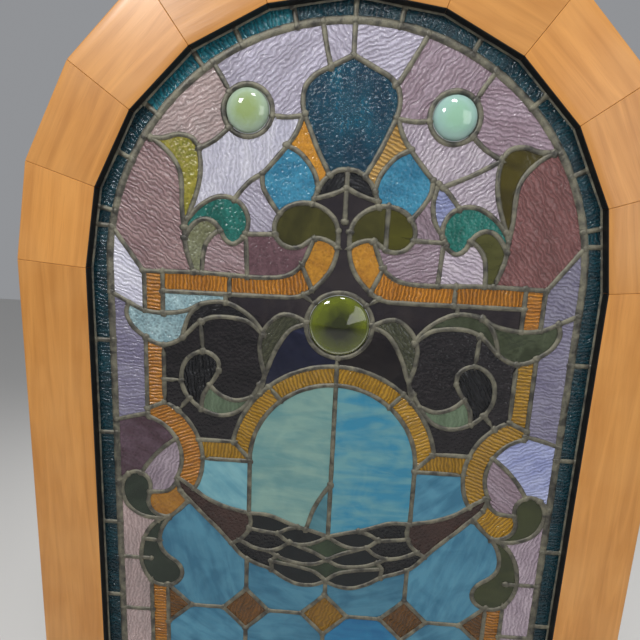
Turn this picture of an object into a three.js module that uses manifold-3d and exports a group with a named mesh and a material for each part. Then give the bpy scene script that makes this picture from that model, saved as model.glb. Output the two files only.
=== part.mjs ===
// An arched leaded-glass window in a mitred maple frame: scrollwork and jewels over a boat, a sky and an
// octagon lattice. Millimetres, +Z up, front towards -Y. The origin is at the middle of the sill face, under the
// bottom rail, with y = 0 in the middle of the glass. The pattern is drawn as [x, z], x from the middle line
// and z from the spring line of the arch, and lifted by SPRING at the end.
import * as THREE from "three";
import { mergeVertices } from "three/addons/utils/BufferGeometryUtils.js";
import Module from "manifold-3d";

const wasm = await Module();
wasm.setup();

// ---- Driving dimensions ----
const BOARD_WIDTH = 75; // every board of the frame, inner edge to outer edge
const BOARD_DEPTH = 28;
const OPENING_HALF_WIDTH = 270; // middle line to a stile's inner edge
const OPENING_DROP = 720; // spring line down to the bottom rail's inner edge
const ARCH_BOARDS = 10; // half of a regular 20-gon
const SPRING = OPENING_DROP + BOARD_WIDTH; // height of the spring line over the sill face
const GAP = 0.3; // clearance between pieces that touch

const CAME_DEPTH = 6.4;
const CAME_WIDTH = 6;
const BORDER_WIDTH = 9; // the flat came between the field and the border glass
const RIM_COVER = 2; // the outermost came shows this far inside the boards
const RIM_GRIP = 7; // and reaches this far into their groove
const GROOVE_DEPTH = 8;

const GLASS = 3;
const SEAT = 0.3; // glass to the leaf of a came that crosses its face
const BORDER_RADIUS = 250; // middle line of the border came, also its distance from the axis below the spring
const FIELD_FOOT = -700; // middle line of the border came along the bottom
const STRIP_INNER = 193; // the two cames of the side strips
const STRIP_OUTER = 213;

const JEWEL = { x: 103, z: 165, ring: 25, rise: 11 };
const RONDEL = { x: 0, z: -50, ring: 36, rise: 12 };
const SKY = { x: 0, z: -212, outer: 116, inner: 94.5 };
const SIDE_RING = { x: 225, z: -217, outer: 75.5, inner: 51 };
const LATTICE = { pitch: 96, half: 28, top: -412, rows: 3 }; // diamonds on a square grid

const SLACK = 2.2; // a curve is drawn in straight steps that stay this near to it
const RING_SIDES = 16;

// ---- The pattern: cames that separate the glass groups ----
// Each is mirrored, and runs as a smooth curve through its points.
const EDGE_CAMES = [
  // crescents and the palmette between them
  [[152, 127], [160, 137], [174, 140], [189, 136], [210, 136]],
  [[153, 129], [151, 112], [152, 97], [156, 81], [162, 65], [169, 47]],
  [[203, 136], [191, 128], [180, 117], [173, 104], [171, 88], [171, 68], [169, 47], [168, 30], [164, 14], [159, 0]],
  [[0, 219], [10, 214], [24, 207], [37, 200], [46, 189], [48, 176], [46, 164], [39, 148], [31, 130], [18, 106]],
  [[18, 106], [10, 111], [0, 112]],
  // petals, motif and olive scrolls
  [[47, 163], [54, 145], [64, 131], [74, 119], [87, 105], [98, 98], [108, 88], [115, 79]],
  [[87, 105], [86, 92], [79, 79], [70, 67]],
  [[18, 106], [25, 99], [30, 89], [34, 77]],
  [
    [6, 50], [10, 61], [20, 71], [35, 77], [52, 76], [65, 69], [72, 58], [73, 46],
    [67, 36], [57, 31], [46, 32], [37, 38], [30, 42], [20, 41], [11, 37], [5, 33],
  ],
  // teal scroll and its olive comma
  [[165, 56], [157, 65], [146, 74], [132, 80], [118, 79], [107, 72], [101, 60], [102, 47], [108, 37], [117, 32], [125, 36], [130, 45]],
  [[131, 46], [139, 40], [146, 30], [149, 15], [150, 0]],
  // amber band
  [[6, 50], [6, 40], [7, 25], [13, 8], [24, -6], [34, -15], [47, -21], [70, -22], [120, -22], [STRIP_INNER, -22]],
  [[31, 42], [36, 29], [41, 17], [48, 8], [60, 1], [82, -2], [150, 0], [214, -1]],
  [[STRIP_INNER, -22], [STRIP_INNER, -46]],
  [[STRIP_OUTER, -1], [STRIP_OUTER, -44]],
  // leaf swag, and the bud beside the rondel
  [[81, -64], [96, -46], [111, -36], [124, -31], [138, -31], [151, -34], [167, -42], [192, -46], [214, -44], [231, -36], [250, -26]],
  [
    [81, -66], [97, -52], [112, -48], [128, -47], [142, -49], [155, -56], [166, -67], [178, -77],
    [192, -82], [206, -79], [217, -72], [228, -62], [234, -48], [231, -36],
  ],
  [[36, -48], [49, -42], [62, -41], [74, -49], [83, -62], [86, -76], [84, -94], [80, -112], [85, -133]],
  // strips beside the sky, and the hooks under the rings
  [[112, -192], [153, -192]],
  [[94.5, -215], [151, -215]],
  [[STRIP_INNER, -82], [STRIP_INNER, -150]],
  [[STRIP_OUTER, -75], [STRIP_OUTER, -167]],
  [[178, -242], [184, -253], [193, -260], [212, -262]],
  [
    [212, -262], [212, -250], [218, -241], [228, -237], [238, -241], [245, -253],
    [245, -268], [239, -282], [228, -291], [212, -296], [190, -294],
  ],
  [[167, -271], [176, -258], [180, -246]],
  [[167, -271], [178, -283], [190, -294]],
  // boat
  [[178, -242], [163, -252], [147, -264], [128, -273], [110, -278], [94, -281], [72, -282], [52, -289], [36, -295], [19, -299], [0, -305]],
  [[176, -258], [148, -288], [130, -306], [115, -323], [102, -338], [86, -347], [67, -354], [50, -365], [32, -372], [14, -371], [0, -365]],
  // lower leaf, and the strips down to the foot
  [
    [190, -294], [198, -307], [202, -322], [200, -336], [192, -346], [181, -354], [175, -365], [177, -376], [187, -385],
    [198, -387], [210, -384], [219, -374], [225, -358], [225, -342], [221, -324], [213, -309], [204, -299],
  ],
  [[204, -299], [190, -292]],
  [[STRIP_INNER, -384], [STRIP_INNER, FIELD_FOOT]],
  [[STRIP_OUTER, -380], [STRIP_OUTER, FIELD_FOOT]],
];

// ---- Cames that cross over the face of a glass group, and are mirrored ----
const CROSS_CAMES = [
  [[121, 181], [128, 193], [138, 208]],
  [[48, 162], [63, 160], [79, 161]],
  [[121, 149], [136, 136], [154, 126]],
  [[246, 44], [214, -1]],
  [[62, 133], [50, 127], [39, 116], [32, 104], [29, 91]],
  [[0, 94], [15, 87], [32, 82]],
  [[73, 44], [102, 43]],
  [[129, 43], [135, 52], [145, 57], [155, 54], [163, 46], [168, 36]],
  [[103, 38], [101, -1]],
  [[44, 15], [37, 0], [31, -13]],
  [[120, -1], [120, -22]],
  [[STRIP_INNER, -1], [STRIP_INNER, -22]],
  [[27, -27], [40, -19]],
  [[36, -50], [51, -56], [61, -68], [70, -85], [77, -104], [84, -123]],
  [[151, -34], [162, -44], [168, -57], [172, -72]],
  [[124, -22], [124, -30]],
  [[151, -53], [149, -88]],
  [
    [131, -108], [132, -97], [139, -90], [149, -87], [160, -91], [169, -100], [173, -112], [173, -125],
    [168, -138], [158, -149], [146, -157], [130, -161], [115, -158], [103, -150], [91, -133], [84, -120],
  ],
  [[131, -108], [136, -118], [143, -128], [149, -139], [151, -154]],
  [[141, -126], [133, -134], [122, -140], [110, -142], [94, -137]],
  [[165, -143], [178, -158]],
  [[61, -139], [75, -123]],
  [[94.5, -213], [114, -192]],
  [[94.5, -212], [94.5, -282]],
  [[STRIP_INNER, -149], [STRIP_OUTER, -158]],
  [[STRIP_OUTER, -164], [230, -168], [250, -174]],
  [[181, -193], [199, -208], [212, -223], [222, -238]],
  [[212, -262], [215, -273], [212, -284], [204, -291], [190, -294]],
  [[238, -241], [250, -251]],
];

// Single cames, which the hands of the maker left on one side or that lie on the middle line.
const SINGLE_EDGE_CAMES = [
  [[0, 219], [0, BORDER_RADIUS]],
  [[0, -118], [0, -305]],
];
const SINGLE_CROSS_CAMES = [
  [[-31, 247], [-27, 228], [-22, 209]],
  [[70, 238], [60, 220], [46, 196]],
  [[98, 99], [125, 111], [152, 126]],
  [[44, 76], [44, 33]],
  [[0, -238], [-10, -253], [-19, -272], [-26, -296]],
  [[0, 112], [0, 60]],
  [[0, -84], [0, -120]],
  [[0, -368], [0, LATTICE.top + LATTICE.half]],
];

// ---- Glass groups: the colour of each, and a point [x, z] in it. Pairs are mirrored. ----
const GLASS_PAIRS = {
  border_glass: { at: [260, -300], colour: 0x0d2a33 },
  top_glass: { at: [70, 200], colour: 0xaaa5b2 },
  crescent_glass: { at: [163, 110], colour: 0x75701f },
  mauve_glass: { at: [205, 70], colour: 0x8a6a66 },
  petal_glass: { at: [60, 100], colour: 0x33708c },
  mauve_field_glass: { at: [75, 15], colour: 0x7d6468 },
  olive_scroll_glass: { at: [55, 55], colour: 0x3c3a14 },
  teal_scroll_glass: { at: [115, 60], colour: 0x1e5f50 },
  amber_band_glass: { at: [90, -12], colour: 0xaf731e },
  side_glass: { at: [231, -120], colour: 0x8c7f93 },
  leaf_glass: { at: [205, -62], colour: 0x7a98a0 },
  dark_scroll_glass: { at: [120, -80], colour: 0x23201f },
  amber_ring_glass: { at: [203, -115], colour: 0xa86c1d },
  sky_glass: { at: [50, -200], colour: 0x4d9db0 },
  hook_glass: { at: [230, -265], colour: 0x283020 },
  lower_leaf_glass: { at: [200, -366], colour: 0x1c1e10 },
  lower_side_glass: { at: [231, -400], colour: 0x9a98a8 },
  lower_strip_glass: { at: [203, -500], colour: 0x8a5a1e },
};
const GLASS_SINGLES = {
  palmette_glass: { at: [5, 160], colour: 0x0f3c4b },
  dark_field_glass: { at: [0, 0], colour: 0x231f24 },
  jewel_field_glass: { at: [40, -85], colour: 0x1a1e30 },
  amber_arch_glass: { at: [30, -108], colour: 0xb4821e },
  boat_glass: { at: [140, -280], colour: 0x1f1a1c },
  lattice_glass: { at: [140, -360], colour: 0x3c7890 },
};

const WOOD = new THREE.MeshStandardMaterial({ color: 0xd9a05a, roughness: 0.45, metalness: 0 });
const LEAD = new THREE.MeshStandardMaterial({ color: 0x6f6e66, roughness: 0.5, metalness: 0.8 });

function glassMaterial(colour) {
  return new THREE.MeshStandardMaterial({
    color: colour, roughness: 0.2, metalness: 0, transparent: true, opacity: 0.85,
  });
}

// ---- Solids ----
function toSolid(geometry) {
  const bare = new THREE.BufferGeometry();
  bare.setAttribute("position", geometry.getAttribute("position"));
  if (geometry.index) bare.setIndex(geometry.index);
  const merged = mergeVertices(bare, 1e-3);
  return new wasm.Manifold(
    new wasm.Mesh({
      numProp: 3,
      vertProperties: new Float32Array(merged.attributes.position.array),
      triVerts: new Uint32Array(merged.index.array),
    }),
  );
}

function toGeometry(solid) {
  const { vertProperties, triVerts } = solid.getMesh();
  const geometry = new THREE.BufferGeometry();
  geometry.setAttribute("position", new THREE.BufferAttribute(new Float32Array(vertProperties), 3));
  geometry.setIndex(new THREE.BufferAttribute(new Uint32Array(triVerts), 1));
  geometry.computeVertexNormals();
  return geometry;
}

// An outline drawn in x and z, made solid from y = front to y = back. Every prism with the same front or back
// has it at exactly the same y, so that joined prisms share one plane.
function prism(points, front, back) {
  const geometry = new THREE.ExtrudeGeometry(new THREE.Shape(points), { depth: 1, bevelEnabled: false });
  const position = geometry.getAttribute("position");
  for (let i = 0; i < position.count; i += 1) {
    const y = position.getZ(i) > 0.5 ? front : back;
    position.setXYZ(i, position.getX(i), y, position.getY(i));
  }
  return toSolid(geometry);
}

function slab(shape, front, back) {
  const whole = prism(shape.getPoints(), front, back);
  return shape.holes.reduce((rest, hole) => rest.subtract(prism(hole.getPoints(), front, back)), whole);
}

function join(solids) {
  return solids.reduce((whole, solid) => whole.add(solid));
}

// ---- Lines ----
function mirrored(points) {
  return points.map(([x, z]) => [-x, z]);
}

function arc({ x, z }, radius, fromDegrees, toDegrees) {
  const step = THREE.MathUtils.radToDeg(2 * Math.acos(1 - SLACK / radius));
  const steps = Math.ceil(Math.abs(toDegrees - fromDegrees) / step);
  return Array.from({ length: steps + 1 }, (_, i) => {
    const angle = THREE.MathUtils.degToRad(fromDegrees + ((toDegrees - fromDegrees) * i) / steps);
    return [x + radius * Math.cos(angle), z + radius * Math.sin(angle)];
  });
}

// The fewest of a line's points whose straight steps stay within SLACK of it.
function thin(line) {
  const chord = new THREE.Line3(line[0], line[line.length - 1]);
  const offsets = line.map((point) => chord.closestPointToPoint(point, true, new THREE.Vector3()).distanceTo(point));
  const far = offsets.indexOf(Math.max(...offsets));
  if (offsets[far] < SLACK) return [line[0], line[line.length - 1]];
  return [...thin(line.slice(0, far + 1)).slice(0, -1), ...thin(line.slice(far))];
}

// A smooth line through the points, in few straight steps.
function smooth(points) {
  if (points.length < 3) return points;
  const corners = points.map(([x, z]) => new THREE.Vector3(x, z, 0));
  const curve = new THREE.CatmullRomCurve3(corners, false, "centripetal");
  return thin(curve.getPoints(8 * (points.length - 1))).map(({ x, y }) => [x, y]);
}

// The outline of a strip of the given width along a line, with mitred corners. A line that ends where it starts
// makes a closed loop.
function strip(line, width) {
  const last = line.length - 1;
  const closed = line[0].every((value, k) => value === line[last][k]);
  const points = (closed ? line.slice(1) : line).map(([x, z]) => new THREE.Vector2(x, z));
  const step = (i) => {
    if (!closed && (i < 0 || i >= last)) return null;
    const [from, to] = [points.at(i), points[(i + 1) % points.length]];
    return to.clone().sub(from).normalize();
  };
  const side = points.map((point, i) => {
    const before = step(i - 1) ?? step(i);
    const along = before.clone().add(step(i) ?? before).normalize();
    return new THREE.Vector2(-along.y, along.x).multiplyScalar(width / 2 / along.dot(before));
  });
  const left = points.map((point, i) => point.clone().add(side[i]));
  const right = points.map((point, i) => point.clone().sub(side[i]));
  if (!closed) return new THREE.Shape([...right, ...left.reverse()]);
  const [outer, inner] = THREE.ShapeUtils.isClockWise(left) ? [left, right] : [right, left];
  const shape = new THREE.Shape(outer);
  shape.holes.push(new THREE.Path(inner));
  return shape;
}

function ring({ x, z }, inner, outer, sides = RING_SIDES) {
  const circle = (radius) => Array.from({ length: sides }, (_, i) => {
    const angle = (2 * Math.PI * i) / sides;
    return new THREE.Vector2(x + radius * Math.cos(angle), z + radius * Math.sin(angle));
  });
  const shape = new THREE.Shape(circle(outer));
  if (inner > 0) shape.holes.push(new THREE.Path(circle(inner).reverse()));
  return shape;
}

// The corners of the opening, grown outwards by a margin: up the right side, over the arch, down the left.
function archCorners(margin) {
  const half = Math.PI / ARCH_BOARDS / 2;
  const apothem = OPENING_HALF_WIDTH * Math.cos(half) + margin;
  const side = OPENING_HALF_WIDTH + margin;
  const shoulder = (apothem - side * Math.cos(half)) / Math.sin(half);
  const crown = Array.from({ length: ARCH_BOARDS - 1 }, (_, i) => {
    const angle = (Math.PI * (i + 1)) / ARCH_BOARDS;
    return [(apothem / Math.cos(half)) * Math.cos(angle), (apothem / Math.cos(half)) * Math.sin(angle)];
  });
  const foot = -OPENING_DROP - margin;
  return [[side, foot], [side, shoulder], ...crown, [-side, shoulder], [-side, foot]];
}

function outline(corners) {
  return new THREE.Shape(corners.map(([x, z]) => new THREE.Vector2(x, z)));
}

// ---- Frame ----
// Boards 0 and 11 are the stiles, 12 is the rail, and those between make the arch from right to left.
function frameBoards() {
  const inner = archCorners(0);
  const outer = archCorners(BOARD_WIDTH);
  const groove = slab(outline(archCorners(GROOVE_DEPTH)), -CAME_DEPTH / 2 - GAP, CAME_DEPTH / 2 + GAP);
  return inner.map((start, i) => {
    const next = (i + 1) % inner.length;
    const along = new THREE.Vector2(...inner[next]).sub(new THREE.Vector2(...start)).setLength(GAP / 2);
    const shape = new THREE.Shape([
      new THREE.Vector2(...start).add(along),
      new THREE.Vector2(...outer[i]).add(along),
      new THREE.Vector2(...outer[next]).sub(along),
      new THREE.Vector2(...inner[next]).sub(along),
    ]);
    return slab(shape, -BOARD_DEPTH / 2, BOARD_DEPTH / 2).subtract(groove);
  });
}

function boardName(i, count) {
  if (i === 0) return "stile_right";
  if (i === count - 2) return "stile_left";
  if (i === count - 1) return "bottom_rail";
  return `arch_board_${i}`;
}

// ---- Leadwork ----
function borderLine() {
  const foot = [BORDER_RADIUS, FIELD_FOOT];
  return [foot, ...arc({ x: 0, z: 0 }, BORDER_RADIUS, 0, 180), [-BORDER_RADIUS, FIELD_FOOT], foot];
}

// Two cross pieces cut the border glass in a right and a left half.
function borderSplits() {
  const reach = OPENING_HALF_WIDTH + RIM_GRIP / 2;
  return [
    [[0, BORDER_RADIUS], [0, reach]],
    [[0, FIELD_FOOT], [0, -OPENING_DROP - RIM_GRIP / 2]],
  ];
}

function diamond(x, z) {
  const { half } = LATTICE;
  return [[x - half, z], [x, z + half], [x + half, z], [x, z - half], [x - half, z]];
}

// Octagons with a diamond at each corner: whole diamonds inside, halves at the strips and the foot.
function latticeCames() {
  const { pitch, half, top, rows } = LATTICE;
  const lines = [];
  for (let row = 0; row < rows; row += 1) {
    const z = top - row * pitch;
    for (const x of [-pitch, 0, pitch]) {
      lines.push(diamond(x, z), [[x, z - half], [x, z - pitch + half]]);
    }
    for (const side of [1, -1]) {
      lines.push([[side * STRIP_INNER, z + half - 1], [side * (2 * pitch - half), z], [side * STRIP_INNER, z - half + 1]]);
      lines.push([[side * half, z], [side * (pitch - half), z]]);
      lines.push([[side * (pitch + half), z], [side * (2 * pitch - half), z]]);
    }
  }
  for (const x of [-pitch, 0, pitch]) {
    lines.push([[x - half, FIELD_FOOT], [x, FIELD_FOOT + half], [x + half, FIELD_FOOT]]);
  }
  for (const side of [1, -1]) {
    lines.push([[side * (2 * pitch - half), FIELD_FOOT], [side * STRIP_INNER, FIELD_FOOT + half]]);
    lines.push([[side * pitch, -343], [side * pitch, top + half]]);
  }
  return lines;
}

function edgeStrips(extra) {
  const arcs = [
    arc(SKY, SKY.outer, 90, 10),
    arc(SKY, SKY.inner, 90, 0),
    arc(SIDE_RING, SIDE_RING.outer, 115, 207),
    arc(SIDE_RING, SIDE_RING.inner, 105, 210),
  ];
  const half = [...EDGE_CAMES.map(smooth), ...arcs];
  const lines = [...half, ...half.map(mirrored), ...SINGLE_EDGE_CAMES, ...borderSplits()];
  const rings = [RONDEL, JEWEL, { ...JEWEL, x: -JEWEL.x }];
  return [
    ...lines.map((line) => strip(line, CAME_WIDTH + 2 * extra)),
    strip(borderLine(), BORDER_WIDTH + 2 * extra),
    ...rings.map((r) => ring(r, r.ring - CAME_WIDTH / 2 - extra, r.ring + CAME_WIDTH / 2 + extra)),
  ];
}

function crossStrips() {
  const half = CROSS_CAMES.map(smooth);
  const lines = [
    ...half, ...half.map(mirrored), ...SINGLE_CROSS_CAMES.map(smooth), ...latticeCames(),
  ];
  return lines.map((line) => strip(line, CAME_WIDTH));
}

function leadwork() {
  const front = -CAME_DEPTH / 2;
  const back = CAME_DEPTH / 2;
  const leaf = GLASS / 2 + SEAT;
  const rim = outline(archCorners(RIM_GRIP));
  rim.holes.push(new THREE.Path(outline(archCorners(-RIM_COVER)).getPoints().reverse()));
  return join([
    slab(rim, front, back),
    ...edgeStrips(0).map((shape) => slab(shape, front, back)),
    ...crossStrips().map((shape) => slab(shape, front, -leaf)),
  ]);
}

// ---- Glass ----
function glassBodies() {
  const sheet = slab(outline(archCorners(-RIM_COVER - GAP)), -GLASS / 2, GLASS / 2);
  const cuts = join(edgeStrips(GAP).map((shape) => slab(shape, -GLASS, GLASS)));
  return sheet.subtract(cuts).decompose();
}

// Whether a body of the sheet has material at [x, z], found on its front face.
function covers(body, [x, z]) {
  const { vertProperties, triVerts } = body.getMesh();
  const corner = (i) => new THREE.Vector3(...vertProperties.slice(3 * i, 3 * i + 3));
  const point = new THREE.Vector3(x, -GLASS / 2, z);
  for (let t = 0; t < triVerts.length; t += 3) {
    const [a, b, c] = [0, 1, 2].map((k) => corner(triVerts[t + k]));
    const onFront = [a, b, c].every((v) => Math.abs(v.y + GLASS / 2) < 1e-3);
    if (onFront && THREE.Triangle.containsPoint(point, a, b, c)) return true;
  }
  return false;
}

function glassGroups() {
  const bodies = glassBodies();
  const wanted = Object.entries(GLASS_SINGLES).map(([name, glass]) => ({ name, ...glass }));
  for (const [name, { at: [x, z], colour }] of Object.entries(GLASS_PAIRS)) {
    wanted.push({ name: `${name}_right`, at: [x, z], colour }, { name: `${name}_left`, at: [-x, z], colour });
  }
  return wanted.map(({ name, at, colour }) => {
    const body = bodies.find((candidate) => covers(candidate, at));
    if (!body) throw new Error(`no glass at the point of ${name}`);
    return { name, body, colour };
  });
}

// A pressed jewel: a dome in front of a disc that sits in its ring.
function jewel({ ring: radius, rise }) {
  const seat = radius - CAME_WIDTH / 2 - GAP;
  const steps = 3;
  const profile = [new THREE.Vector2(0, -GLASS / 2), new THREE.Vector2(seat, -GLASS / 2)];
  for (let i = 0; i <= steps; i += 1) {
    const angle = (Math.PI / 2) * (i / steps);
    profile.push(new THREE.Vector2(seat * Math.cos(angle), GLASS / 2 + rise * Math.sin(angle)));
  }
  profile[profile.length - 1].x = 0;
  const geometry = new THREE.LatheGeometry(profile, RING_SIDES);
  geometry.rotateX(Math.PI);
  return toSolid(geometry);
}

// ---- The window ----
const window = new THREE.Group();

function addPiece(name, solid, material, x = 0, z = 0) {
  const mesh = new THREE.Mesh(toGeometry(solid), material);
  mesh.name = name;
  mesh.position.set(x, 0, z);
  window.add(mesh);
}

const boards = frameBoards();
boards.forEach((board, i) => addPiece(boardName(i, boards.length), board, WOOD));
addPiece("leadwork", leadwork(), LEAD);
glassGroups().forEach(({ name, body, colour }) => addPiece(name, body, glassMaterial(colour)));
addPiece("opal_jewel_right", jewel(JEWEL), glassMaterial(0x8fc5a0), JEWEL.x, JEWEL.z);
addPiece("opal_jewel_left", jewel(JEWEL), glassMaterial(0x96af64), -JEWEL.x, JEWEL.z);
addPiece("centre_rondel", jewel(RONDEL), glassMaterial(0x4c5a12), RONDEL.x, RONDEL.z);

window.position.z = SPRING;

export default window;
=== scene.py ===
"""An arched leaded-glass window in a mitred maple frame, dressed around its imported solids.

The pattern is drawn as (x, z) in millimetres: x from the middle line, z from the spring line of the arch.
The front faces -Y, and y = 0 is the middle of the glass. Meshes are made in millimetres and scaled to
metres as they are built.
"""

import logging
import math
from collections.abc import Iterable, Sequence
from dataclasses import dataclass, field
from enum import Enum

import bpy
import numpy as np
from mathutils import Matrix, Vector, geometry

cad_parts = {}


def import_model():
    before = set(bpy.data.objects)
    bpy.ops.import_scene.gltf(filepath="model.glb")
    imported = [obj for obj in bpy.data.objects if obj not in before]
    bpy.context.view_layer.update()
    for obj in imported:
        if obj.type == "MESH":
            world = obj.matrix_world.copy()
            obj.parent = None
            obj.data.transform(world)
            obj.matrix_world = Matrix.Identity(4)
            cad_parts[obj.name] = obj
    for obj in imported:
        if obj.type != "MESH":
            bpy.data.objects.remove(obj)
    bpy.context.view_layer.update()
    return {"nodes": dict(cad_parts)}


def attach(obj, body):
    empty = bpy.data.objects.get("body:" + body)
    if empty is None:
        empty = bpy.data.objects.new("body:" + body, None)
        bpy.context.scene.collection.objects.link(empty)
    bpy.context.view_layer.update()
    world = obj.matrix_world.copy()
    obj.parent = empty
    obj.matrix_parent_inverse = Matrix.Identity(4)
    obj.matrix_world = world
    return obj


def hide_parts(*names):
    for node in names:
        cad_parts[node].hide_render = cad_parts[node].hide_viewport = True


Points = np.ndarray
Line = Sequence[tuple[float, float]]

MM = 0.001
SPRING = 795.0
OPENING_HALF_WIDTH = 270.0
OPENING_DROP = 720.0
BOARD_WIDTH = 75.0
BOARD_DEPTH = 28.0
ARCH_BOARDS = 10
SHARP = 50.0  # degrees

GLASS = 3.0
CAME_WIDTH = 6.0
CAME_DEPTH = 6.4
BORDER_WIDTH = 9.0
BORDER_RADIUS = 250.0
FIELD_FOOT = -700.0
STRIP_INNER = 193.0
STRIP_OUTER = 213.0
SKY_CENTRE = (0.0, -212.0)
SKY_OUTER = 116.0
SKY_INNER = 94.5
RING_CENTRE = (225.0, -217.0)
RING_OUTER = 75.5
RING_INNER = 51.0
LATTICE_PITCH = 96.0
LATTICE_HALF = 28.0
LATTICE_TOP = -412.0
LATTICE_ROWS = 3

log = logging.getLogger("window")

# ---- The pattern. Each line is mirrored, and is drawn as a smooth curve through its points. ----
PAIRED_CAMES: list[Line] = [
    # crescents and the palmette between them
    [(152, 127), (160, 137), (174, 140), (189, 136), (210, 136)],
    [(153, 129), (151, 112), (152, 97), (156, 81), (162, 65), (169, 47)],
    [
        (203, 136), (191, 128), (180, 117), (173, 104), (171, 88),
        (171, 68), (169, 47), (168, 30), (164, 14), (159, 0),
    ],
    [
        (0, 219), (10, 214), (24, 207), (37, 200), (46, 189),
        (48, 176), (46, 164), (39, 148), (31, 130), (18, 106),
    ],
    [(18, 106), (10, 111), (0, 112)],
    # petals, motif and olive scrolls
    [(47, 163), (54, 145), (64, 131), (74, 119), (87, 105), (98, 98), (108, 88), (115, 79)],
    [(87, 105), (86, 92), (79, 79), (70, 67)],
    [(18, 106), (25, 99), (30, 89), (34, 77)],
    [
        (6, 50), (10, 61), (20, 71), (35, 77), (52, 76), (65, 69), (72, 58), (73, 46),
        (67, 36), (57, 31), (46, 32), (37, 38), (30, 42), (20, 41), (11, 37), (5, 33),
    ],
    # teal scroll and its olive comma
    [
        (165, 56), (157, 65), (146, 74), (132, 80), (118, 79), (107, 72),
        (101, 60), (102, 47), (108, 37), (117, 32), (125, 36), (130, 45),
    ],
    [(131, 46), (139, 40), (146, 30), (149, 15), (150, 0)],
    # amber band
    [
        (6, 50), (6, 40), (7, 25), (13, 8), (24, -6),
        (34, -15), (47, -21), (70, -22), (120, -22), (STRIP_INNER, -22),
    ],
    [(31, 42), (36, 29), (41, 17), (48, 8), (60, 1), (82, -2), (150, 0), (214, -1)],
    [(STRIP_INNER, -22), (STRIP_INNER, -46)],
    [(STRIP_OUTER, -1), (STRIP_OUTER, -44)],
    # leaf swag, and the bud beside the rondel
    [
        (81, -64), (96, -46), (111, -36), (124, -31), (138, -31), (151, -34),
        (167, -42), (192, -46), (214, -44), (231, -36), (250, -26),
    ],
    [
        (81, -66), (97, -52), (112, -48), (128, -47), (142, -49), (155, -56), (166, -67), (178, -77),
        (192, -82), (206, -79), (217, -72), (228, -62), (234, -48), (231, -36),
    ],
    [(36, -48), (49, -42), (62, -41), (74, -49), (83, -62), (86, -76), (84, -94), (80, -112), (85, -133)],
    # strips beside the sky, and the hooks under the rings
    [(112, -192), (153, -192)],
    [(94.5, -215), (151, -215)],
    [(STRIP_INNER, -82), (STRIP_INNER, -150)],
    [(STRIP_OUTER, -75), (STRIP_OUTER, -167)],
    [(178, -242), (184, -253), (193, -260), (212, -262)],
    [
        (212, -262), (212, -250), (218, -241), (228, -237), (238, -241), (245, -253),
        (245, -268), (239, -282), (228, -291), (212, -296), (190, -294),
    ],
    [(167, -271), (176, -258), (180, -246)],
    [(167, -271), (178, -283), (190, -294)],
    # boat
    [
        (178, -242), (163, -252), (147, -264), (128, -273), (110, -278), (94, -281),
        (72, -282), (52, -289), (36, -295), (19, -299), (0, -305),
    ],
    [
        (176, -258), (148, -288), (130, -306), (115, -323), (102, -338), (86, -347),
        (67, -354), (50, -365), (32, -372), (14, -371), (0, -365),
    ],
    # lower leaf, and the strips down to the foot
    [
        (190, -294), (198, -307), (202, -322), (200, -336), (192, -346),
        (181, -354), (175, -365), (177, -376), (187, -385),
        (198, -387), (210, -384), (219, -374), (225, -358),
        (225, -342), (221, -324), (213, -309), (204, -299),
    ],
    [(204, -299), (190, -292)],
    [(STRIP_INNER, -384), (STRIP_INNER, FIELD_FOOT)],
    [(STRIP_OUTER, -380), (STRIP_OUTER, FIELD_FOOT)],
    # ties, veins and seams inside a shape
    [(121, 181), (128, 193), (138, 208)],
    [(48, 162), (63, 160), (79, 161)],
    [(121, 149), (136, 136), (154, 126)],
    [(246, 44), (214, -1)],
    [(62, 133), (50, 127), (39, 116), (32, 104), (29, 91)],
    [(0, 94), (15, 87), (32, 82)],
    [(73, 44), (102, 43)],
    [(129, 43), (135, 52), (145, 57), (155, 54), (163, 46), (168, 36)],
    [(103, 38), (101, -1)],
    [(44, 15), (37, 0), (31, -13)],
    [(120, -1), (120, -22)],
    [(STRIP_INNER, -1), (STRIP_INNER, -22)],
    [(27, -27), (40, -19)],
    [(36, -50), (51, -56), (61, -68), (70, -85), (77, -104), (84, -123)],
    [(151, -34), (162, -44), (168, -57), (172, -72)],
    [(124, -22), (124, -30)],
    [(151, -53), (149, -88)],
    [
        (131, -108), (132, -97), (139, -90), (149, -87), (160, -91), (169, -100), (173, -112), (173, -125),
        (168, -138), (158, -149), (146, -157), (130, -161),
        (115, -158), (103, -150), (91, -133), (84, -120),
    ],
    [(131, -108), (136, -118), (143, -128), (149, -139), (151, -154)],
    [(141, -126), (133, -134), (122, -140), (110, -142), (94, -137)],
    [(165, -143), (178, -158)],
    [(61, -139), (75, -123)],
    [(94.5, -213), (114, -192)],
    [(94.5, -212), (94.5, -282)],
    [(STRIP_INNER, -149), (STRIP_OUTER, -158)],
    [(STRIP_OUTER, -164), (230, -168), (250, -174)],
    [(181, -193), (199, -208), (212, -223), (222, -238)],
    [(212, -262), (215, -273), (212, -284), (204, -291), (190, -294)],
    [(238, -241), (250, -251)],
    # planks of the hull
    [(94, -281), (92, -292), (95, -305), (104, -316), (115, -323)],
    [(36, -295), (49, -299), (60, -305), (76, -304), (93, -301)],
    [(0, -305), (13, -313), (28, -318), (46, -316), (60, -305)],
    [(46, -316), (57, -325), (71, -329), (88, -326), (106, -317)],
    [(0, -336), (12, -329), (27, -323), (46, -316)],
    [(0, -336), (15, -343), (35, -343), (54, -338), (71, -329)],
    [(0, -364), (13, -354), (33, -348), (52, -345), (66, -343)],
    [(60, -336), (66, -343), (65, -354)],
    # side strips
    *[[(STRIP_OUTER, z), (BORDER_RADIUS, z)] for z in (-351, -423, -495, -567, -639)],
]

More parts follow.
